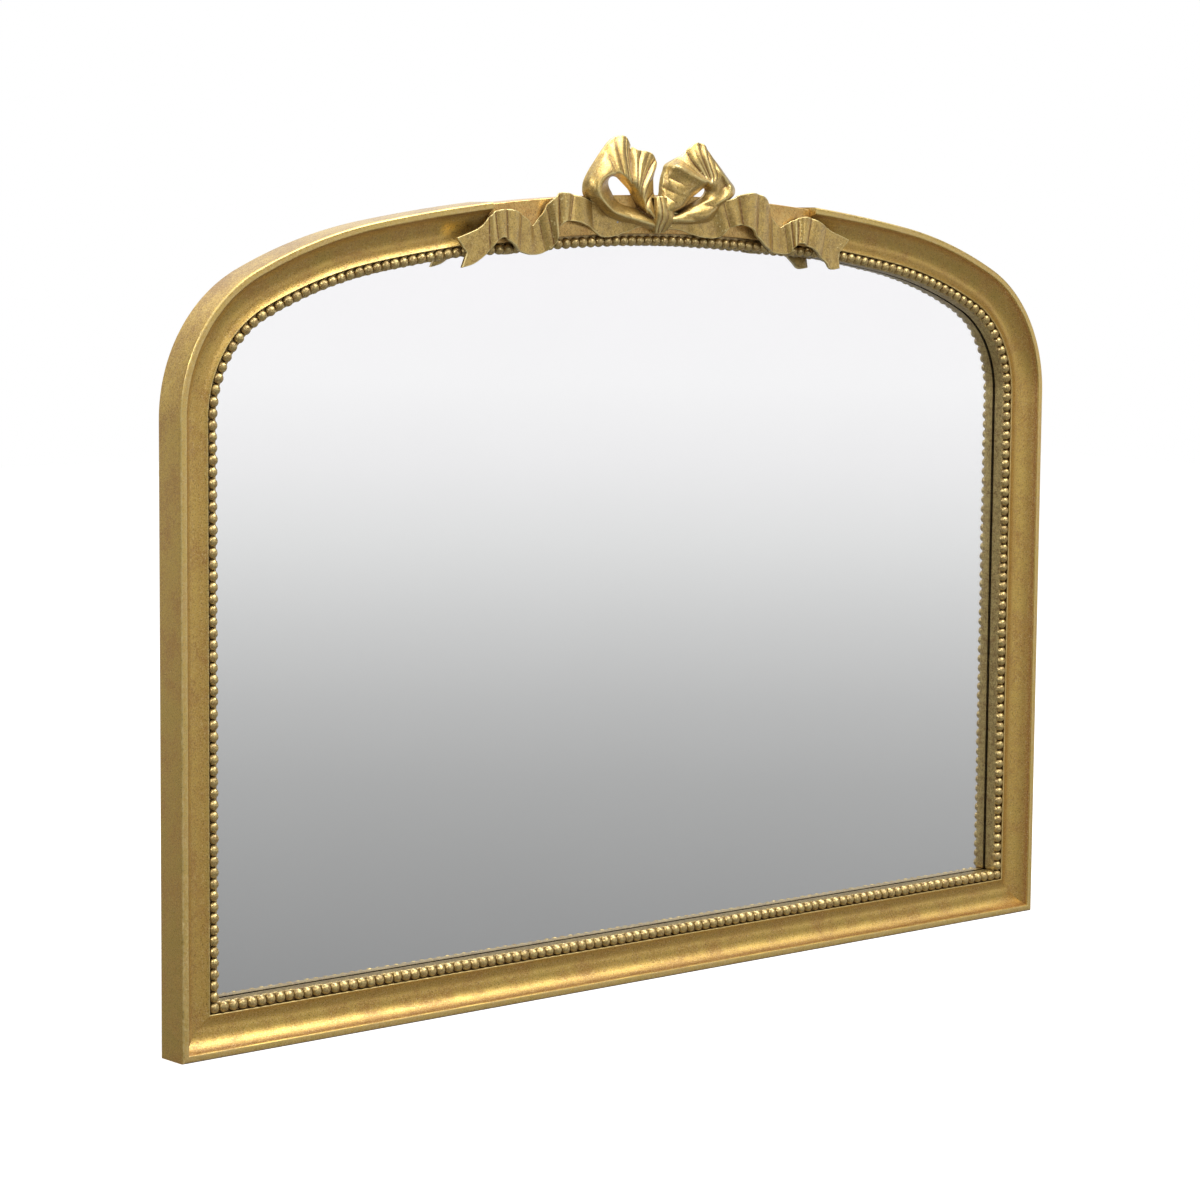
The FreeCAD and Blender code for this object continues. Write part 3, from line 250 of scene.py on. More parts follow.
# creases that run from the hole to the outer edge of each loop: station, width and depth
LEFT_LOOP_CREASES = [
    (10.2, 0.35, 0.6), (11.8, 0.3, 0.8), (13.0, 0.3, 0.7), (14.2, 0.3, 1.5), (15.7, 0.3, 1.2),
    (16.6, 0.3, 0.8), (17.6, 0.35, 1.4), (19.5, 0.4, 0.8), (21.0, 0.35, 0.9), (2.5, 0.4, 0.6),
]
RIGHT_LOOP_CREASES = [
    (1.2, 0.25, 0.8), (1.8, 0.25, 0.7), (3.2, 0.5, 1.0), (6.4, 0.3, 0.6), (7.5, 0.3, 1.2),
    (8.6, 0.25, 0.7), (9.4, 0.25, 1.4), (10.6, 0.3, 1.2), (11.6, 0.3, 0.7), (13.6, 0.4, 0.8),
    (16.4, 0.35, 0.6), (18.4, 0.35, 0.8),
]
# the creases of a loop start a little in from its outer edge and end at this share of its width
LOOP_CREASE_END = 0.7
LOOP_BACK_OUT_MM = -1.5

# the knot, read the same way from top to bottom, each row from its left side over the front
KNOT = [
    ((652.6, 199.4, 5), (656.0, 197.2, 11), (660.6, 196.2, 13), (665.4, 196.4, 12),
     (669.0, 198.4, 7)),
    ((652.8, 205.6, 7), (657.2, 204.2, 13), (663.0, 203.4, 15), (668.6, 204.4, 13),
     (672.4, 206.6, 8)),
    ((653.0, 213.0, 8), (658.0, 212.4, 14), (664.4, 211.8, 16), (670.6, 212.6, 14),
     (674.6, 214.4, 8)),
    ((652.8, 220.2, 8), (657.6, 220.0, 13), (664.2, 219.8, 15), (670.2, 219.8, 13),
     (674.0, 220.4, 8)),
    ((652.6, 226.4, 7), (656.6, 227.0, 11), (661.8, 227.2, 13), (667.0, 226.8, 11),
     (670.4, 226.4, 7)),
    ((654.0, 231.6, 5), (656.8, 232.8, 8), (660.2, 233.4, 9), (663.2, 233.0, 8),
     (665.4, 232.2, 5)),
]
KNOT_CREASES = [(1.0, 0.25, 0.9), (2.1, 0.2, 0.7), (3.1, 0.25, 0.8)]
# how many stations the creases of the knot lean over from its top to its foot
KNOT_LEAN = 0.5

# what the glass shows: the grey of the surroundings against the sine of the height above the eye
GLASS_GREYS = [
    (-0.24, "#8C8C8C"), (-0.192, "#A1A1A1"), (-0.180, "#A6A6A6"), (-0.158, "#B0B0B0"),
    (-0.135, "#BFBFBF"), (-0.112, "#D1D1D1"), (-0.088, "#E4E4E4"), (-0.065, "#F2F1F2"),
    (-0.042, "#FBFAFB"), (-0.007, "#FDFBFD"), (0.06, "#F0F0F0"), (0.15, "#949494"),
    (0.5, "#9C9C9C"), (0.66, "#FFFFFF"),
]

# the lamps: name, place, side in metres and watts, all aimed at the middle of the glass
LAMPS = [
    ("overhead", (0.7, -0.9, 2.6), 1.8, 42.0),
    ("key", (-2.6, -1.0, 1.9), 0.9, 20.0),
    ("front", (-0.4, -3.4, 1.8), 1.2, 9.0),
]
LAMP_AIM = (0.0, 0.0, 0.4)
FLOOR_REACH = 6.0


def linear(hex_colour):
    """An sRGB hex colour as linear RGBA."""
    channels = [int(hex_colour[i:i + 2], 16) / 255 for i in (1, 3, 5)]
    return [c / 12.92 if c <= 0.04045 else ((c + 0.055) / 1.055) ** 2.4 for c in channels] + [1.0]


class MirrorSizes(bpy.types.PropertyGroup):
    """Sizes of the beads and of the bow."""

    bead_radius: FloatProperty(
        name="Bead radius", description="Radius of a bead on the slip",
        default=4.6 * MM, min=0.002, max=0.008, unit="LENGTH", precision=5)
    bead_pitch: FloatProperty(
        name="Bead pitch", description="Distance from one bead to the next",
        default=9.2 * MM, min=0.004, max=0.02, unit="LENGTH", precision=5)
    grain: FloatProperty(
        name="Casting grain", description="Size of the cells that the bow is built from",
        default=0.45 * MM, min=0.0003, max=0.002, unit="LENGTH", precision=5)


class MirrorColours(bpy.types.PropertyGroup):
    """Colours of the gold leaf and of the brown glaze over it."""

    moulding_leaf: FloatVectorProperty(
        name="Moulding leaf", description="Gold leaf of the moulding", subtype="COLOR",
        size=4, min=0, max=1, default=linear("#DFBC62"))
    moulding_glaze: FloatVectorProperty(
        name="Moulding glaze", description="Brown glaze over the moulding", subtype="COLOR",
        size=4, min=0, max=1, default=linear("#9C6B2B"))
    # the block's leaf is painted brighter than the moulding's: painted light, making up for light
    # that the block lacks
    block_leaf_painted_light: FloatVectorProperty(
        name="Block leaf", description="Gold leaf of the block in the crown", subtype="COLOR",
        size=4, min=0, max=1, default=linear("#F0C878"))
    block_glaze: FloatVectorProperty(
        name="Block glaze", description="Brown glaze over the block", subtype="COLOR",
        size=4, min=0, max=1, default=linear("#B4823E"))
    slip_leaf: FloatVectorProperty(
        name="Slip leaf", description="Gold leaf of the slip and its beads", subtype="COLOR",
        size=4, min=0, max=1, default=linear("#DEC682"))
    slip_glaze: FloatVectorProperty(
        name="Slip glaze", description="Brown glaze between the beads", subtype="COLOR",
        size=4, min=0, max=1, default=linear("#84602F"))
    bow_leaf: FloatVectorProperty(
        name="Bow leaf", description="Gold leaf of the bow", subtype="COLOR",
        size=4, min=0, max=1, default=linear("#DDBC6C"))
    bow_glaze: FloatVectorProperty(
        name="Bow glaze", description="Brown glaze in the folds of the bow", subtype="COLOR",
        size=4, min=0, max=1, default=linear("#714A1C"))


# materials


def per_mm(size_mm):
    """The scale of a texture whose cells are so many millimetres wide."""
    return 1 / (size_mm * MM)


def feed(tree, node, sockets):
    """Give each named socket of a node its value, or the output that feeds it."""
    for name, value in sockets.items():
        if isinstance(value, bpy.types.NodeSocket):
            tree.links.new(value, node.inputs[name])
        else:
            node.inputs[name].default_value = value


def add_node(tree, kind, output=None, sockets=None, **settings):
    """Add a node with its settings and sockets; return the named output, or else the node."""
    node = tree.nodes.new(kind)
    for name, value in settings.items():
        setattr(node, name, value)
    feed(tree, node, sockets or {})
    return node.outputs[output] if output else node


def span(source, low, high, at_low, at_high):
    """What a map range needs to carry a value from one range to another."""
    return {"Value": source, "From Min": low, "From Max": high, "To Min": at_low, "To Max": at_high}


def new_material(name):
    """A material with an empty tree but for its Principled shader and its output."""
    material = bpy.data.materials.new(name)
    material.use_nodes = True
    tree = material.node_tree
    tree.nodes.clear()
    shader = add_node(tree, "ShaderNodeBsdfPrincipled")
    add_node(tree, "ShaderNodeOutputMaterial", sockets={"Surface": shader.outputs["BSDF"]})
    return material, tree, shader


def gilding(name, leaf, glaze, cloud_mm, glaze_share, crevice_mm, cast_folds=False):
    """Gold leaf over gesso, toned: satin metal with warm bright arrises of worn leaf and painted
    highlight, faces mottled by a brown glaze, hollows glazed brown, and creases painted nearly
    black as painted shade."""
    if name in bpy.data.materials:
        return bpy.data.materials[name]
    material, tree, shader = new_material(name)
    where = add_node(tree, "ShaderNodeTexCoord", "Object")
    # clouds of glaze, flecks of leaf rubbed thin about 2 mm wide, and the grit of the gesso, which
    # is really about 0.2 mm and is drawn at 1 mm so that it shows
    cells = ((cloud_mm, 4.0, 0.62), (2.2, 5.0, 0.75), (1.0, 2.0, 0.6))
    cloud, fleck, speck = (
        add_node(tree, "ShaderNodeTexNoise", "Fac",
                 {"Vector": where, "Scale": per_mm(cell), "Detail": detail, "Roughness": rough})
        for cell, detail, rough in cells)
    # the glaze stays where the surface is sheltered, and in the clouds
    open_sky = add_node(tree, "ShaderNodeAmbientOcclusion", "AO",
                        {"Distance": crevice_mm * MM}, samples=8)
    hollow = add_node(tree, "ShaderNodeMapRange", "Result", span(open_sky, 0.4, 0.88, 0.95, 0.0))
    # the deepest crevices take painted shade: a near black, with the coat and the shine taken away
    crevice_shade = add_node(tree, "ShaderNodeMapRange", "Result", span(open_sky, 0.1, 0.5, 0.95, 0.0))
    mottled = add_node(tree, "ShaderNodeMath", "Value", {0: cloud, 1: fleck}, operation="MULTIPLY")
    worn = add_node(tree, "ShaderNodeMapRange", "Result",
                    span(mottled, 0.17, 0.34, 0.0, glaze_share))
    glaze_and_fold_shade = add_node(tree, "ShaderNodeMath", "Value", {0: worn, 1: hollow}, operation="MAXIMUM")
    # ridges are rubbed bright, worn leaf with a painted highlight, and folds stay dark with glaze
    # and painted shade: a casting's own shape tells which, and a swept length carries its own
    # levels with it
    if cast_folds:
        shape = add_node(tree, "ShaderNodeNewGeometry", "Pointiness")
        wear_and_painted_light = add_node(tree, "ShaderNodeMapRange", "Result", span(shape, 0.482, 0.518, -1.1, 0.9))
    else:
        wear_and_painted_light = add_node(tree, "ShaderNodeAttribute", "Fac", attribute_name="wear_and_painted_light")
    broken = add_node(tree, "ShaderNodeMapRange", "Result", span(fleck, 0.3, 0.7, -0.35, 0.35))
    ragged_wear_and_light = add_node(tree, "ShaderNodeMath", "Value", {0: wear_and_painted_light, 1: broken}, operation="ADD")
    # the bright share is worn leaf with a painted highlight; the dark share is glaze with painted
    # shade
    rubbed = add_node(tree, "ShaderNodeMapRange", "Result", span(ragged_wear_and_light, 0.15, 1.0, 0.0, 0.8))
    sunk_glaze_and_shade = add_node(tree, "ShaderNodeMapRange", "Result", span(ragged_wear_and_light, -0.9, -0.15, 0.95, 0.0))
    glaze_and_fold_shade = add_node(tree, "ShaderNodeMath", "Value", {0: glaze_and_fold_shade, 1: sunk_glaze_and_shade}, operation="MAXIMUM")
    pits = add_node(tree, "ShaderNodeMapRange", "Result", span(speck, 0.56, 0.70, 0.0, 0.7))
    dust = add_node(tree, "ShaderNodeMapRange", "Result", span(speck, 0.44, 0.30, 0.0, 0.45))
    # leaf, then glaze with the painted shade of sunk folds, dark pits, pale dust, the rubbed ridges
    # with their painted highlight, and the painted shade of the crevices, nearly black
    colour = list(leaf)
    layers = ((glaze_and_fold_shade, list(glaze)), (pits, linear("#5A3F18")), (dust, linear("#F0E2AC")),
              (rubbed, linear("#F5E29E")), (crevice_shade, linear("#150C05")))
    for share, layer in layers:
        colour = add_node(tree, "ShaderNodeMix", "Result",
                          {"Factor": share, "A": colour, "B": layer}, data_type="RGBA")
    # the shellac over the leaf is a thin coat; in the crevices it and the rest of the shine are
    # taken away, as painted shade
    feed(tree, shader, {
        "Base Color": colour,
        "Metallic": add_node(tree, "ShaderNodeMapRange", "Result",
                             span(glaze_and_fold_shade, 0.0, 1.0, 1.0, 0.4)),
        "Roughness": add_node(tree, "ShaderNodeMapRange", "Result",
                              span(fleck, 0.3, 0.7, 0.26, 0.48)),
        "Coat Weight": add_node(tree, "ShaderNodeMapRange", "Result",
                                span(crevice_shade, 0.0, 0.8, 0.45, 0.0)),
        "Coat Roughness": 0.22,
        "Coat IOR": 1.45,
        "Specular IOR Level": add_node(tree, "ShaderNodeMapRange", "Result",
                                       span(crevice_shade, 0.0, 0.8, 0.5, 0.0)),
        "Normal": add_node(tree, "ShaderNodeBump", "Normal",
                           {"Height": fleck, "Strength": 0.4, "Distance": 0.25 * MM}),
    })
    return material


def moulding_gilding(colours):
    """Water gilt wood, toned: broad soft clouds of brown over a satin gold."""
    return gilding("Gilded moulding, water gilt and toned", colours.moulding_leaf,
                   colours.moulding_glaze, cloud_mm=26, glaze_share=0.75, crevice_mm=6.0)


def block_gilding(colours):
    """The same over flat wood, toned warmer: duller and browner than the moulding beside it, on a
    leaf painted brighter as painted light for the light that the block lacks.
    """
    return gilding("Gilded block, toned brown", colours.block_leaf_painted_light, colours.block_glaze,
                   cloud_mm=14, glaze_share=0.8, crevice_mm=6.0)


def slip_gilding(colours):
    """The same over the slip, with the seats between the beads painted nearly black as painted
    shade.
    """
    return gilding("Gilded slip, beads rubbed bright", colours.slip_leaf, colours.slip_glaze,
                   cloud_mm=5, glaze_share=0.85, crevice_mm=3.0)


def bow_gilding(colours):
    """Composition, cast and gilded: ribbon edges worn bright with a painted highlight, and folds
    dark brown with glaze and painted shade.
    """
    return gilding("Gilded composition, cast and rubbed", colours.bow_leaf, colours.bow_glaze,
                   cloud_mm=9, glaze_share=0.6, crevice_mm=10.0, cast_folds=True)


def faint_haze(tree, low_hex, high_hex, cell_mm):
    """A colour that drifts between two near tints over so many millimetres."""
    where = add_node(tree, "ShaderNodeTexCoord", "Object")
    drift = add_node(tree, "ShaderNodeTexNoise", "Fac", {"Vector": where, "Scale": per_mm(cell_mm)})
    return add_node(tree, "ShaderNodeMix", "Result",
                    {"Factor": drift, "A": linear(low_hex), "B": linear(high_hex)},
                    data_type="RGBA")


def clear_glass():
    """Float glass, polished: clear and sharp, with the faintest green of its iron."""
    material, tree, shader = new_material("Float glass, polished")
    feed(tree, shader, {"Base Color": faint_haze(tree, "#FBFDFC", "#FDFFFE", 200),
                        "Roughness": 0.0, "IOR": 1.52, "Transmission Weight": 1.0})
    return material


def silvering():
    """Silver deposited on the back of the glass: a perfect mirror, a little grey."""
    material, tree, shader = new_material("Silvering, chemically deposited")
    feed(tree, shader, {"Base Color": faint_haze(tree, "#FAF9FA", "#FCFBFC", 150),
                        "Metallic": 1.0, "Roughness": 0.0})
    return material


def plain_finish(name, hex_colour, metallic, roughness, grain_mm, contrast, stretch=(1, 1, 1)):
    """A finish with a fine grain in its colour, its gloss and its relief."""
    material, tree, shader = new_material(name)
    where = add_node(tree, "ShaderNodeTexCoord", "Object")
    along = add_node(tree, "ShaderNodeMapping", "Vector", {"Vector": where, "Scale": stretch})
    grain = add_node(tree, "ShaderNodeTexNoise", "Fac",
                     {"Vector": along, "Scale": per_mm(grain_mm), "Detail": 6.0})
    full = linear(hex_colour)
    dark = [channel * (1 - contrast) for channel in full[:3]] + [1.0]
    gloss = {"Value": grain, "To Min": roughness * 0.85, "To Max": min(1.0, roughness * 1.15)}
    feed(tree, shader, {
        "Base Color": add_node(tree, "ShaderNodeMix", "Result",
                               {"Factor": grain, "A": dark, "B": full}, data_type="RGBA"),
        "Metallic": metallic,
        "Roughness": add_node(tree, "ShaderNodeMapRange", "Result", gloss),
        "Normal": add_node(tree, "ShaderNodeBump", "Normal",
                           {"Height": grain, "Strength": 0.2, "Distance": 0.2 * MM}),
    })
    return material


def back_finishes():
    """The plain finishes behind the frame, by the record's material slots."""
    return {
        # pressed wood fibre: matt brown, felted in bundles about 1.6 mm wide
        "hardboard": plain_finish("Hardboard, pressed", "#8A6A48", 0.0, 0.75, 1.6, 0.35),
        # stamped and plated strip: yellow and satin, a little uneven at 0.8 mm
        "brassed_steel": plain_finish("Brass plated steel, pressed", "#C9A75C", 1.0, 0.32, 0.8,
                                      0.25),
        # drawn wire: bright grey with fine die lines
        "steel_wire": plain_finish("Wire, drawn bright", "#B4B4B2", 1.0, 0.35, 0.6, 0.2),
        # turned beech: pale, with pores drawn out along the dowel
        "beech_dowel": plain_finish("Beech dowel, turned", "#C9A67A", 0.0, 0.6, 0.9, 0.3,
                                    (1, 1, 0.1)),
        # moulded rubber: nearly black and matt, with the fine bloom of its mould
        "rubber_pad": plain_finish("Rubber, moulded", "#2A2A2C", 0.0, 0.8, 0.5, 0.3),
    }


# places and lines


def camera_axes():
    """The camera's right, up and forward directions."""
    yaw, pitch, roll = (math.radians(a) for a in (CAMERA_YAW, CAMERA_PITCH, CAMERA_ROLL))
    forward = Vector((math.sin(yaw) * math.cos(pitch), math.cos(yaw) * math.cos(pitch),
                      math.sin(pitch)))
    level = Vector((math.cos(yaw), -math.sin(yaw), 0))
    up = level.cross(forward)
    right = level * math.cos(roll) + up * math.sin(roll)
    return right, up * math.cos(roll) - level * math.sin(roll), forward


def from_picture(across, down, out):
    """The point, in metres, that the photograph shows at a pixel, so far out from the block."""
    right, up, forward = camera_axes()
    focal = LENS_MM / SENSOR_MM * PICTURE_SIZE
    middle = PICTURE_SIZE / 2
    ray = forward * focal + right * (across - middle) - up * (down - middle)
    y = (BLOCK_FACE - out) * MM
    return CAMERA_PLACE + ray * ((y - CAMERA_PLACE.y) / ray.y)


def smooth_line(points, count):
    """Points spaced along a smooth line through the given ones, as many as count per span."""
    ends = [points[0] * 2 - points[1], *points, points[-1] * 2 - points[-2]]
    line = []
    for a, b, c, d in zip(ends, ends[1:], ends[2:], ends[3:]):
        for step in range(count):
            t = step / count
            line.append(0.5 * (2 * b + (c - a) * t + (2 * a - 5 * b + 4 * c - d) * t * t
                               + (3 * b - a - 3 * c + d) * t ** 3))
    return [*line, points[-1]]


def smooth_grid(rows, along, across):
    """A fine grid of points through coarse rows."""
    fine_rows = [smooth_line(row, across) for row in rows]
    columns = [smooth_line(list(column), along) for column in zip(*fine_rows)]
    return [list(row) for row in zip(*columns)]


def haunch_centre():
    """The centre of the right haunch: the shoulder runs into it without a corner."""
    offset = HAUNCH_RADIUS - SHOULDER_RADIUS
    angle = math.radians(SHOULDER_ANGLE)
    x = HALF_WIDTH - SHOULDER_RADIUS - offset * math.cos(angle)
    return x, SPRING - offset * math.sin(angle)


def crown_circle():
    """The height of the crown's centre, and its radius."""
    x, z = haunch_centre()
    angle = math.radians(HAUNCH_ANGLE)
    offset = x / math.cos(angle)
    return z - offset * math.sin(angle), HAUNCH_RADIUS + offset


def block_angle():
    """The angle on the crown's circle at which the block ends."""
    _, radius = crown_circle()
    return math.degrees(math.acos(BLOCK_HALF_WIDTH / radius))


def arc_stations(centre_x, centre_z, radius, start, end, side, step_mm=2.5):
    """Stations round an arc: a place on the outer line and the direction inwards."""
    count = max(2, round(radius * math.radians(abs(end - start)) / step_mm))
    stations = []
    for i in range(count + 1):
        angle = math.radians(start + (end - start) * i / count)
        x, z = math.cos(angle), math.sin(angle)
        stations.append(((side * (centre_x + radius * x), centre_z + radius * z), (-side * x, -z)))
    return stations


def line_stations(start, end, inwards, step_mm=8.0):
    """Stations along a straight run."""
    count = max(1, round(math.dist(start, end) / step_mm))
    return [((start[0] + (end[0] - start[0]) * i / count,
              start[1] + (end[1] - start[1]) * i / count), inwards) for i in range(count + 1)]


def corner_station(side):
    """The mitre of a bottom corner, where the section is carried inwards along the diagonal."""
    return (HALF_WIDTH * side, 0.0), (-side, 1.0)


def bottom_stations():
    """Stations along the bottom, from mitre to mitre."""
    reach = HALF_WIDTH - MITRE_REACH
    straight = line_stations((-reach, 0.0), (reach, 0.0), (0.0, 1.0))
    return [corner_station(-1), *straight, corner_station(1)]


def side_stations(side):
    """Stations up one side, from the mitre to the spring of the arch."""
    x = HALF_WIDTH * side
    return [corner_station(side), *line_stations((x, MITRE_REACH), (x, SPRING), (-side, 0.0))]


def shoulder_stations(side):
    """Stations round one shoulder."""
    return arc_stations(HALF_WIDTH - SHOULDER_RADIUS, SPRING, SHOULDER_RADIUS,
                        0, SHOULDER_ANGLE, side)


def haunch_stations(side):
    """Stations round one haunch."""
    x, z = haunch_centre()
    return arc_stations(x, z, HAUNCH_RADIUS, SHOULDER_ANGLE, HAUNCH_ANGLE, side)


def crown_stations(side, end):
    """Stations from a haunch along the crown to an angle."""
    z, radius = crown_circle()
    return arc_stations(0.0, z, radius, HAUNCH_ANGLE, end, side)


def outline(inset):
    """The arch at an inset, as points from the bottom left corner round to the bottom right."""
    stations = [corner_station(-1)]
    for side in (-1, 1):
        arcs = [((HALF_WIDTH * side, SPRING), (-side, 0.0)), *shoulder_stations(side)[1:],
                *haunch_stations(side)[1:], *crown_stations(side, CROWN_ANGLE)[1:]]
        stations += arcs if side < 0 else list(reversed(arcs))[1:]
    stations.append(corner_station(1))
    return [(base[0] + inset * inwards[0], base[1] + inset * inwards[1])
            for base, inwards in stations]


# sections, as points of inset and depth


def section_arc(start, end, radius, turn, count):
    """Points round an arc of the section after its start, up to and with its end."""
    a, b = Vector(start), Vector(end)
    chord = b - a
    rise = math.sqrt(max(radius * radius - chord.length_squared / 4, 0.0))
    centre = (a + b) / 2 + Vector((-chord.y, chord.x)).normalized() * rise * turn
    first = math.atan2(a.y - centre.y, a.x - centre.x)
    sweep = math.atan2(b.y - centre.y, b.x - centre.x) - first
    if turn > 0 and sweep < 0:
        sweep += math.tau
    if turn < 0 and sweep > 0:
        sweep -= math.tau
    return [(centre.x + radius * math.cos(first + sweep * i / count),
             centre.y + radius * math.sin(first + sweep * i / count)) for i in range(1, count + 1)]


def moulding_section():
    """Round the moulding: rounded rim, small step, cove, swelling, lip and rebate."""
    points = [(0.0, BACK), (0.0, -13.0)]
    points += section_arc((0.0, -13.0), (2.0, FRONT), 2.0, 1, 6)
    points += [(5.0, FRONT)]
    points += section_arc((5.0, FRONT), (6.2, -14.0), 1.1, 1, 4)
    points += [(6.5, -13.4)]
    points += section_arc((6.5, -13.4), (20.0, -2.5), 19.0, -1, 16)
    points += section_arc((20.0, -2.5), (32.6, -4.6), 16.0, -1, 12)
    points += section_arc((32.6, -4.6), (MOULDING_EDGE, -3.8), 0.8, 1, 3)
    return points + [(MOULDING_EDGE, REBATE_FRONT), (REBATE_EDGE, REBATE_FRONT),
                     (REBATE_EDGE, BACK)]


def block_section():
    """Round the block: a flat face with eased edges, over the seat of the beads and the rebate."""
    eased = BLOCK_FACE + 0.8
    points = [(2.0, BACK), (2.0, eased)]
    points += section_arc((2.0, eased), (2.8, BLOCK_FACE), 0.8, 1, 3)
    points += [(34.5, BLOCK_FACE)]
    points += section_arc((34.5, BLOCK_FACE), (35.3, eased), 0.8, 1, 3)
    return points + [(35.3, -2.2), (MOULDING_EDGE, -2.2), (MOULDING_EDGE, REBATE_FRONT),
                     (REBATE_EDGE, REBATE_FRONT), (REBATE_EDGE, BACK)]


def slip_section():
    """Round the slip: the flat that carries the beads, the wall to the glass and the flange."""
    points = [(MOULDING_EDGE, REBATE_FRONT), (MOULDING_EDGE, SLIP_FACE), (41.9, SLIP_FACE)]
    points += section_arc((41.9, SLIP_FACE), (42.4, -0.9), 0.5, 1, 3)
    return points + [(SIGHT_LINE, 7.3), (SIGHT_LINE, SLIP_BACK), (REBATE_EDGE, SLIP_BACK),
                     (REBATE_EDGE, REBATE_FRONT)]


def section_wear_and_painted_light(section):
    """How worn bright with a painted highlight (up to 1), or how darkened with glaze and painted
    shade (down to -1), the gilding is at each point of a section.
    """
    wear_and_painted_lights = []
    for inset, depth in section:
        if depth > 0 or inset < 0.01:
            wear_and_painted_lights.append(0.0)
            continue
        low = max(i for i, (place, _) in enumerate(MOULDING_WEAR_AND_PAINTED_LIGHT[:-1]) if place <= inset)
        (place, wear_and_painted_light), (next_place, next_wear_and_painted_light) = MOULDING_WEAR_AND_PAINTED_LIGHT[low:low + 2]
        share = min(1.0, (inset - place) / (next_place - place))
        wear_and_painted_lights.append(wear_and_painted_light + (next_wear_and_painted_light - wear_and_painted_light) * share)
    return wear_and_painted_lights


# meshes


def finish_shading(work, smooth_angle):
    """Smooth faces, with the edges sharper than an angle kept sharp."""
    limit = math.radians(smooth_angle)
    for face in work.faces:
        face.smooth = True
    for edge in work.edges:
        edge.smooth = not (len(edge.link_faces) == 2 and edge.calc_face_angle(0) > limit)


def new_piece(name, points, faces, material, slot, smooth_angle=40.0):
    """A mesh piece in metres that rides on the mirror, shaded smooth but for its sharp edges."""
    mesh = bpy.data.meshes.new(name)
    mesh.from_pydata([tuple(p) for p in points], [], faces)
    work = bmesh.new()
    work.from_mesh(mesh)
    bmesh.ops.remove_doubles(work, verts=work.verts, dist=1e-6)
    bmesh.ops.recalc_face_normals(work, faces=work.faces)
    finish_shading(work, smooth_angle)
    work.to_mesh(mesh)
    work.free()
    piece = bpy.data.objects.new(name, mesh)
    bpy.context.scene.collection.objects.link(piece)
    mesh.materials.append(material)
    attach(piece, BODY)
    return piece


def swept(stations, section):
    """Points and faces of a section carried along stations, closed at both ends."""
    points = [Vector((base[0] + inset * inwards[0], depth, base[1] + inset * inwards[1])) * MM
              for base, inwards in stations for inset, depth in section]
    columns = len(section)
    faces = []
    for i in range(len(stations) - 1):
        for j in range(columns):
            a, b = i * columns + j, i * columns + (j + 1) % columns
            faces.append((a, b, b + columns, a + columns))
    faces.append(tuple(range(columns)))
    faces.append(tuple(range(len(points) - 1, len(points) - 1 - columns, -1)))
    return points, faces


def paint_wear_and_painted_light(piece, section, runs):
    """Store the wear and the painted highlight and shade of every point of a swept piece, for the
    gilding to read.
    """
    wear_and_painted_lights = section_wear_and_painted_light(section) * runs
    store = piece.data.attributes.new("wear_and_painted_light", "FLOAT", "POINT")
    for number, wear_and_painted_light in enumerate(wear_and_painted_lights[:len(piece.data.vertices)]):
        store.data[number].value = wear_and_painted_light


def shell(front, back):
    """Points and faces of a closed solid between two grids of the same size."""
    rows, columns = len(front), len(front[0])
    points = [p for row in front for p in row] + [p for row in back for p in row]
    behind = rows * columns
    faces = []
    for i in range(rows - 1):
        for j in range(columns - 1):
            a = i * columns + j
            quad = (a, a + columns, a + columns + 1, a + 1)
            faces.append(quad)
            faces.append(tuple(behind + k for k in reversed(quad)))
    rim = [i * columns for i in range(rows)]
    rim += [(rows - 1) * columns + j for j in range(1, columns)]
    rim += [i * columns + columns - 1 for i in range(rows - 2, -1, -1)]
    rim += list(range(columns - 2, 0, -1))
    for a, b in zip(rim, rim[1:] + rim[:1]):
        faces.append((a, a + behind, b + behind, b))
    return points, faces


def bead_places(node, stations, pitch):
    """Places of the beads of one length of slip. The bottom has the bead of each corner, and the
    sides go on from it."""
    reach = HALF_WIDTH - BEAD_INSET
    if node == "bottom_slip":
        count = round(reach * 2 / pitch)
        return [Vector((-reach + reach * 2 * i / count, BEAD_INSET)) for i in range(count + 1)]
    if node in ("left_slip", "right_slip"):
        x = math.copysign(reach, stations[0][0][0])
        rise = SPRING - BEAD_INSET
        count = round(rise / pitch)
        step = rise / (count + 0.5)
        return [Vector((x, BEAD_INSET + step * i)) for i in range(1, count + 1)]
    places = spread_along(stations, pitch)
    if "crown" in node:
        for place in places:
            place.y -= crown_sag(place.x)
    return places


def spread_along(stations, pitch):
    """Places spread evenly along stations at the inset of the beads, half a pitch from the ends."""
    line = [Vector((base[0] + BEAD_INSET * inwards[0], base[1] + BEAD_INSET * inwards[1]))
            for base, inwards in stations]
    lengths = [0.0]
    for a, b in zip(line, line[1:]):
        lengths.append(lengths[-1] + (b - a).length)
    count = max(1, round(lengths[-1] / pitch))
    places = []
    for i in range(count):
        target = lengths[-1] * (i + 0.5) / count
        k = next(n for n in range(1, len(lengths)) if lengths[n] >= target)
        share = (target - lengths[k - 1]) / (lengths[k] - lengths[k - 1])
        places.append(line[k - 1].lerp(line[k], share))
    return places


def crown_sag(x):
    """How much lower the beads sit under the block in the crown, in millimetres."""
    share = min(1.0, max(0.0, (SAG_START - abs(x)) / SAG_REACH))
    return CROWN_SAG * share * share * (3 - 2 * share)


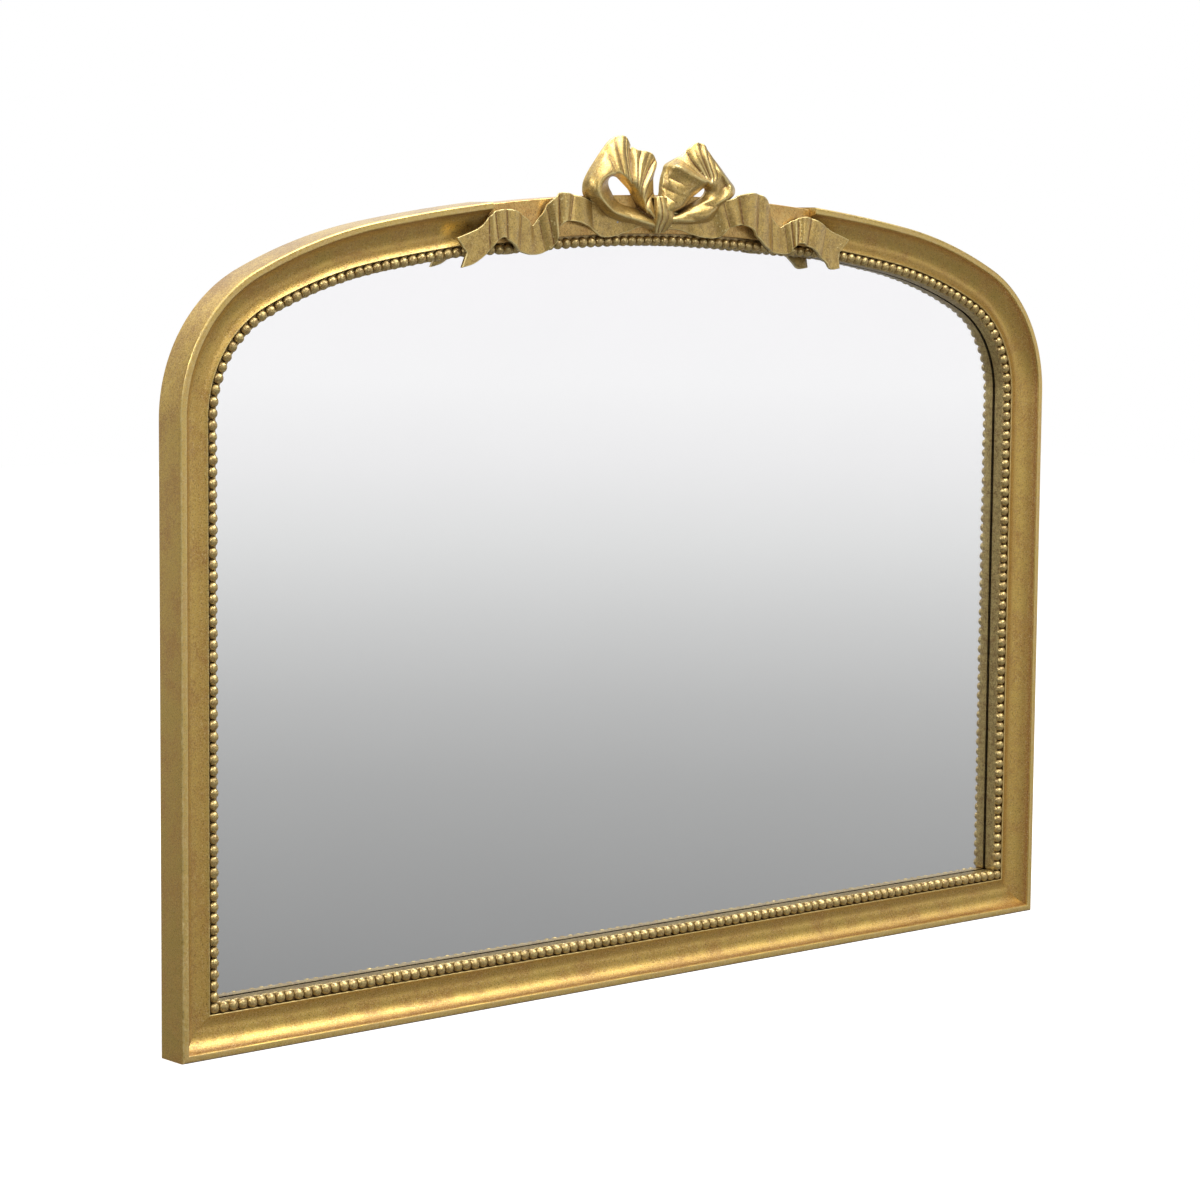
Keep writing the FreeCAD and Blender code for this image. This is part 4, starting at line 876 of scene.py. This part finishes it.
def add_bead(points, faces, x, z, radius, seed):
    """A bead of the slip, a little out of round, so that no two catch the light alike."""
    rng = random.Random(seed)
    wide = radius * rng.uniform(0.96, 1.03)
    tall = radius * rng.uniform(0.96, 1.06)
    lean_x, lean_z = rng.uniform(-0.10, 0.10), rng.uniform(-0.10, 0.10)
    first = len(points)
    points.append(Vector((x + lean_x * radius, BEAD_DEPTH - tall, z + lean_z * radius)) * MM)
    for ring in range(1, BEAD_RINGS + 1):
        angle = math.radians(BEAD_WRAP) * ring / BEAD_RINGS
        out, across = math.cos(angle) * tall, math.sin(angle) * wide
        for step in range(BEAD_SIDES):
            turn = math.tau * step / BEAD_SIDES
            points.append(Vector((x + across * math.cos(turn) + lean_x * out, BEAD_DEPTH - out,
                                  z + across * math.sin(turn) + lean_z * out)) * MM)
    for step in range(BEAD_SIDES):
        after = (step + 1) % BEAD_SIDES
        faces.append((first, first + 1 + step, first + 1 + after))
        for ring in range(BEAD_RINGS - 1):
            a = first + 1 + ring * BEAD_SIDES
            faces.append((a + step, a + BEAD_SIDES + step, a + BEAD_SIDES + after, a + after))
    last = first + 1 + (BEAD_RINGS - 1) * BEAD_SIDES
    faces.append(tuple(last + step for step in range(BEAD_SIDES - 1, -1, -1)))


def crease_depth(station, creases):
    """How deep the creases are at a place along a ribbon, in metres: each is a sharp fold in the
    middle of a soft valley twice as wide."""
    total = 0.0
    for place, width, depth in creases:
        away = abs(station - place) / width
        total += depth * (0.55 * math.exp(-1.3 * away) + 0.45 * math.exp(-(away / 2.0) ** 2))
    return total * CREASE_SCALE * MM


def ribbon_tail(stations, creases, side):
    """Front and back grids of a ribbon tail, swallow-tailed at its end."""
    along, across = 6, 9
    rows = []
    for upper, lower in stations:
        a, b = from_picture(*upper), from_picture(*lower)
        rows.append([a.lerp(b, share / 2) for share in range(3)])
    grid = smooth_grid(rows, along, across)
    last = len(grid) - 1
    width = len(grid[0]) - 1
    front, back = [], []
    for i, row in enumerate(grid):
        depth = crease_depth(i / along, creases)
        taper = max(0.0, 1 - (last - i) / (TAIL_NOTCH_STATIONS * along))
        run = grid[min(i + 1, last)][width // 2] - grid[max(i - 1, 0)][width // 2]
        inwards = run.cross(row[width] - row[0]).normalized() * side * TAIL_THICKNESS_MM * MM
        front_row, back_row = [], []
        for j, point in enumerate(row):
            notch = TAIL_NOTCH_MM * MM * taper * (1 - abs(2 * j / width - 1))
            place = point + Vector((-side * notch, depth, 0))
            place.y = min(place.y, (BLOCK_FACE - TAIL_CLEARANCE_MM) * MM)
            behind = place + inwards
            behind.y = min(behind.y, BLOCK_FACE * MM)
            front_row.append(place)
            back_row.append(behind)
        front.append(front_row)
        back.append(back_row)
    return front, back


def ribbon_loop(stations, creases):
    """Front and back grids of a loop of the bow, from its outer edge over the rim into the hole."""
    along, across = 6, 5
    grid = smooth_grid([[from_picture(*point) for point in row] for row in stations],
                       along, across)
    width = len(grid[0]) - 1
    back_y = (BLOCK_FACE - LOOP_BACK_OUT_MM) * MM
    front, back = [], []
    for i, row in enumerate(grid):
        depth = crease_depth(i / along, creases)
        front_row = []
        for j, point in enumerate(row):
            share = j / width
            cut = math.sin(math.pi * min(1.0, share * 1.25 + 0.12))
            if share >= LOOP_CREASE_END:
                cut = 0.0
            front_row.append(point + Vector((0, depth * max(0.0, cut), 0)))
        front.append(front_row)
        back.append([Vector((place.x, back_y, place.z)) for place in front_row])
    return front, back


def knot_band(rows, creases):
    """Front and back grids of the knot, its creases leaning as they run down."""
    along, across = 6, 7
    grid = smooth_grid([[from_picture(*point) for point in row] for row in rows], along, across)
    front, back = [], []
    for i, row in enumerate(grid):
        lean = KNOT_LEAN * i / (len(grid) - 1)
        front.append([point + Vector((0, crease_depth(j / across + lean, creases), 0))
                      for j, point in enumerate(row)])
        back.append([Vector((point.x, BLOCK_FACE * MM, point.z)) for point in row])
    return front, back


def cast(name, front, back, context, smooth_steps):
    """A soft-edged gilt casting of the solid between two grids."""
    gold = bow_gilding(context.scene.mirror_colours)
    piece = new_piece(name, *shell(front, back), gold, "gilt_composition")
    remesh = piece.modifiers.new("cast", "REMESH")
    remesh.mode = "VOXEL"
    remesh.voxel_size = context.scene.mirror_sizes.grain
    soften = piece.modifiers.new("soften", "SMOOTH")
    soften.factor = 0.5
    soften.iterations = smooth_steps
    depsgraph = context.evaluated_depsgraph_get()
    mesh = bpy.data.meshes.new_from_object(piece.evaluated_get(depsgraph))
    piece.modifiers.clear()
    mesh.materials.clear()
    mesh.materials.append(gold)
    piece.data = mesh
    for face in mesh.polygons:
        face.use_smooth = True
    return piece


# the pieces


class OBJECT_OT_mirror_moulding(bpy.types.Operator):
    """The gilded moulding: mitred rails below, jointed arcs above and a plain block in the crown"""

    bl_idname = "object.mirror_moulding"
    bl_label = "Gilded moulding"

    def execute(self, context):
        colours = context.scene.mirror_colours
        gold = moulding_gilding(colours)
        section = moulding_section()
        runs = {"bottom_rail": bottom_stations()}
        for side, word in ((-1, "left"), (1, "right")):
            runs[f"{word}_stile"] = side_stations(side)
            runs[f"{word}_shoulder"] = shoulder_stations(side)
            runs[f"{word}_crown_rail"] = (haunch_stations(side)
                                          + crown_stations(side, block_angle())[1:])
        for node, stations in runs.items():
            piece = new_piece(f"gilt_{node}", *swept(stations, section), gold, "gilt_wood")
            paint_wear_and_painted_light(piece, section, len(stations))
            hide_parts(node)
        z, radius = crown_circle()
        crown = arc_stations(0.0, z, radius, block_angle(), 180 - block_angle(), 1)
        block = new_piece("gilt_crown_block", *swept(crown, block_section()),
                          block_gilding(colours), "gilt_wood")
        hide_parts("crown_block")
        return {"FINISHED"}


class OBJECT_OT_mirror_slip(bpy.types.Operator):
    """The slip round the glass, with its row of beads"""

    bl_idname = "object.mirror_slip"
    bl_label = "Beaded slip"

    def execute(self, context):
        gold = slip_gilding(context.scene.mirror_colours)
        sizes = context.scene.mirror_sizes
        radius, pitch = sizes.bead_radius / MM, sizes.bead_pitch / MM
        runs = {"bottom_slip": bottom_stations()}
        for side, word in ((-1, "left"), (1, "right")):
            runs[f"{word}_slip"] = side_stations(side)
            runs[f"{word}_shoulder_slip"] = shoulder_stations(side)
            runs[f"{word}_crown_slip"] = (haunch_stations(side)
                                          + crown_stations(side, CROWN_ANGLE)[1:])
        for node, stations in runs.items():
            points, faces = swept(stations, slip_section())
            for number, place in enumerate(bead_places(node, stations, pitch)):
                add_bead(points, faces, place.x, place.y, radius, f"{node} {number}")
            piece = new_piece(f"gilt_{node}", points, faces, gold, "gilt_wood", 50.0)
            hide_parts(node)
        return {"FINISHED"}


class OBJECT_OT_mirror_glass(bpy.types.Operator):
    """The silvered glass: clear in front and at its edges, silvered behind"""

    bl_idname = "object.mirror_glass"
    bl_label = "Silvered glass"

    def execute(self, context):
        low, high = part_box("mirror_glass")
        ring = [(x * MM, z * MM) for x, z in outline(GLASS_EDGE)]
        count = len(ring)
        silver = high.y - SILVER_GAP * MM
        points = [(x, y, z) for y in (low.y, silver) for x, z in ring]
        faces = [tuple(range(count)), tuple(range(2 * count - 1, count - 1, -1))]
        faces += [(i, count + i, count + (i + 1) % count, (i + 1) % count) for i in range(count)]
        pane = new_piece("silvered_pane", points, faces, clear_glass(), "silvered_glass", 30.0)
        pane.data.materials.append(silvering())
        for face in pane.data.polygons:
            if face.center.y > silver - 1e-5:
                face.material_index = 1
        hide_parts("mirror_glass")
        return {"FINISHED"}


class OBJECT_OT_mirror_tails(bpy.types.Operator):
    """The two ribbon tails, pleated and swallow-tailed"""

    bl_idname = "object.mirror_tails"
    bl_label = "Ribbon tails"

    def execute(self, context):
        tails = (("left", -1, LEFT_TAIL, LEFT_TAIL_CREASES),
                 ("right", 1, RIGHT_TAIL, RIGHT_TAIL_CREASES))
        for word, side, stations, creases in tails:
            grids = ribbon_tail(stations, creases, side)
            tail = cast(f"{word}_tail_casting", *grids, context, smooth_steps=1)
            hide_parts(f"{word}_ribbon_tail")
        return {"FINISHED"}


class OBJECT_OT_mirror_loops(bpy.types.Operator):
    """The two loops of the bow, pleated round their holes"""

    bl_idname = "object.mirror_loops"
    bl_label = "Bow loops"

    def execute(self, context):
        loops = (("left", LEFT_LOOP, LEFT_LOOP_CREASES), ("right", RIGHT_LOOP, RIGHT_LOOP_CREASES))
        for word, stations, creases in loops:
            grids = ribbon_loop(stations, creases)
            loop = cast(f"{word}_loop_casting", *grids, context, smooth_steps=1)
            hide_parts(f"bow_{word}_loop")
        return {"FINISHED"}


class OBJECT_OT_mirror_knot(bpy.types.Operator):
    """The knot of the bow, a band wrapped with soft creases"""

    bl_idname = "object.mirror_knot"
    bl_label = "Bow knot"

    def execute(self, context):
        knot = cast("knot_casting", *knot_band(KNOT, KNOT_CREASES), context, smooth_steps=2)
        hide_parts("bow_knot")
        return {"FINISHED"}


class OBJECT_OT_mirror_back(bpy.types.Operator):
    """Finishes for the board, the hangers, the turn buttons and the fixings"""

    bl_idname = "object.mirror_back"
    bl_label = "Back and fixings"

    def execute(self, context):
        gold = moulding_gilding(context.scene.mirror_colours)
        finishes = back_finishes()
        for entry in frame["record"]["subparts"]:
            node = frame["nodes"][entry["node"]]
            node.data.materials.clear()
            node.data.materials.append(finishes.get(entry["material_slot"], gold))
        return {"FINISHED"}


# the stage


def seen_in_gloss(tree, path):
    """1 for a ray that a mirror or a clear piece sends on, and 0 for any other."""
    return add_node(tree, "ShaderNodeMath", "Value", {0: path.outputs["Is Glossy Ray"],
                    1: path.outputs["Is Transmission Ray"]}, operation="MAXIMUM")


def build_floor(scene):
    """Matt white paper that the camera sees white, but for the object's soft shadow."""
    corners = [(x * FLOOR_REACH, y * FLOOR_REACH, 0)
               for x, y in ((-1, -1), (1, -1), (1, 1), (-1, 1))]
    mesh = bpy.data.meshes.new("floor")
    mesh.from_pydata(corners, [], [(0, 1, 2, 3)])
    floor = bpy.data.objects.new("floor", mesh)
    scene.collection.objects.link(floor)
    material = bpy.data.materials.new("Paper floor, matt white")
    material.use_nodes = True
    tree = material.node_tree
    tree.nodes.clear()
    path = add_node(tree, "ShaderNodeLightPath")
    paper = add_node(tree, "ShaderNodeBsdfDiffuse", "BSDF", {"Color": linear("#F2F2F2")})
    glow = add_node(tree, "ShaderNodeEmission", "Emission", {"Strength": 0.62})
    lit = add_node(tree, "ShaderNodeAddShader", "Shader", {0: paper, 1: glow})
    clear = add_node(tree, "ShaderNodeBsdfTransparent", "BSDF")
    seen = add_node(tree, "ShaderNodeMixShader", "Shader",
                    {0: path.outputs["Is Camera Ray"], 1: paper, 2: lit})
    shown = add_node(tree, "ShaderNodeMixShader", "Shader",
                     {0: seen_in_gloss(tree, path), 1: seen, 2: clear})
    add_node(tree, "ShaderNodeOutputMaterial", sockets={"Surface": shown})
    mesh.materials.append(material)


def build_world(scene):
    """White to the camera; to the glass and the gold a horizon that falls to grey below."""
    world = bpy.data.worlds.new("studio")
    scene.world = world
    world.use_nodes = True
    tree = world.node_tree
    tree.nodes.clear()
    place = add_node(tree, "ShaderNodeTexCoord", "Generated")
    way = add_node(tree, "ShaderNodeSeparateXYZ", sockets={"Vector": place})
    x, y, z = (way.outputs[axis] for axis in "XYZ")
    # the greys that the glass shows, lowest first, on a ramp from a quarter below the eye
    height = add_node(tree, "ShaderNodeMapRange", "Result", span(z, -0.25, 0.75, 0, 1))
    ramp = add_node(tree, "ShaderNodeValToRGB", sockets={"Fac": height})
    stops = ramp.color_ramp.elements
    for place, grey in GLASS_GREYS:
        stops.new(place + 0.25).color = linear(grey)
    stops.remove(stops[0])
    stops.remove(stops[-1])
    # white behind the mirror and above the eye, for the edges of the frame
    behind = add_node(tree, "ShaderNodeMapRange", "Result", span(y, 0.3, 0.7, 0.0, 1.0))
    above = add_node(tree, "ShaderNodeMapRange", "Result", span(z, 0.02, 0.12, 0.0, 1.0))
    beyond = add_node(tree, "ShaderNodeMath", "Value", {0: behind, 1: above}, operation="MULTIPLY")
    sky = add_node(tree, "ShaderNodeMix", "Result",
                   {"Factor": beyond, "A": ramp.outputs["Color"], "B": linear("#FFFFFF")},
                   data_type="RGBA")
    # dimmer to the left and brighter overhead, as a soft box hung over the table would make it
    left = add_node(tree, "ShaderNodeMapRange", "Result", span(x, -0.7, -0.1, 0.6, 1.0))
    overhead = add_node(tree, "ShaderNodeMapRange", "Result", span(z, 0.55, 0.72, 1.0, 1.7))
    strength = add_node(tree, "ShaderNodeMath", "Value", {0: left, 1: overhead},
                        operation="MULTIPLY")
    reflected = add_node(tree, "ShaderNodeBackground", "Background",
                         {"Color": sky, "Strength": strength})
    room, backdrop = (add_node(tree, "ShaderNodeBackground", "Background",
                               {"Color": linear("#FFFFFF"), "Strength": level})
                      for level in (0.5, 1.0))
    path = add_node(tree, "ShaderNodeLightPath")
    direct = add_node(tree, "ShaderNodeMixShader", "Shader",
                      {0: path.outputs["Is Camera Ray"], 1: room, 2: backdrop})
    shown = add_node(tree, "ShaderNodeMixShader", "Shader",
                     {0: seen_in_gloss(tree, path), 1: direct, 2: reflected})
    add_node(tree, "ShaderNodeOutputWorld", sockets={"Surface": shown})


def build_lamps(scene):
    """A broad soft box overhead, a key from the left and a weak fill from the front."""
    for name, place, side, watts in LAMPS:
        light = bpy.data.lights.new(name, "AREA")
        light.shape = "SQUARE"
        light.size = side
        light.energy = watts
        lamp = bpy.data.objects.new(name, light)
        lamp.location = place
        aim = Vector(LAMP_AIM) - Vector(place)
        lamp.rotation_euler = aim.to_track_quat("-Z", "Y").to_euler()
        scene.collection.objects.link(lamp)


def build_camera(scene):
    """The camera at the photograph's place."""
    data = bpy.data.cameras.new("photo_view")
    data.lens = LENS_MM
    data.sensor_width = SENSOR_MM
    data.clip_end = 50.0
    right, up, forward = camera_axes()
    turn = Matrix((right, up, -forward)).transposed()
    camera = bpy.data.objects.new("photo_view", data)
    camera.matrix_world = Matrix.Translation(CAMERA_PLACE) @ turn.to_4x4()
    scene.collection.objects.link(camera)
    scene.camera = camera


class OBJECT_OT_mirror_stage(bpy.types.Operator):
    """The floor, the soft light, the white surroundings and the camera"""

    bl_idname = "object.mirror_stage"
    bl_label = "Stage"

    def execute(self, context):
        build_floor(context.scene)
        build_world(context.scene)
        build_lamps(context.scene)
        build_camera(context.scene)
        context.scene.view_settings.view_transform = "Standard"
        return {"FINISHED"}


STEPS = (
    OBJECT_OT_mirror_stage,
    OBJECT_OT_mirror_back,
    OBJECT_OT_mirror_moulding,
    OBJECT_OT_mirror_slip,
    OBJECT_OT_mirror_glass,
    OBJECT_OT_mirror_tails,
    OBJECT_OT_mirror_loops,
    OBJECT_OT_mirror_knot,
)


class VIEW3D_PT_mirror(bpy.types.Panel):
    """The sizes, the colours and the steps that dress the mirror"""

    bl_label = "Arched mirror"
    bl_idname = "VIEW3D_PT_mirror"
    bl_space_type = "VIEW_3D"
    bl_region_type = "UI"
    bl_category = "Mirror"

    def draw(self, context):
        for group in (context.scene.mirror_sizes, context.scene.mirror_colours):
            for name in type(group).__annotations__:
                self.layout.prop(group, name)
        for step in STEPS:
            self.layout.operator(step.bl_idname)


CLASSES = (MirrorSizes, MirrorColours, *STEPS, VIEW3D_PT_mirror)


def register():
    """Make the classes and the scene's own settings known."""
    for each in CLASSES:
        bpy.utils.register_class(each)
    bpy.types.Scene.mirror_sizes = PointerProperty(type=MirrorSizes)
    bpy.types.Scene.mirror_colours = PointerProperty(type=MirrorColours)


def unregister():
    """Take them away again."""
    del bpy.types.Scene.mirror_colours
    del bpy.types.Scene.mirror_sizes
    for each in reversed(CLASSES):
        bpy.utils.unregister_class(each)


def main():
    """Dress the mirror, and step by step."""
    register()
    bpy.ops.object.mirror_stage()
    bpy.ops.object.mirror_back()
    bpy.ops.object.mirror_moulding()
    bpy.ops.object.mirror_slip()
    bpy.ops.object.mirror_glass()
    bpy.ops.object.mirror_tails()
    bpy.ops.object.mirror_loops()
    bpy.ops.object.mirror_knot()


if __name__ == "__main__":
    main()
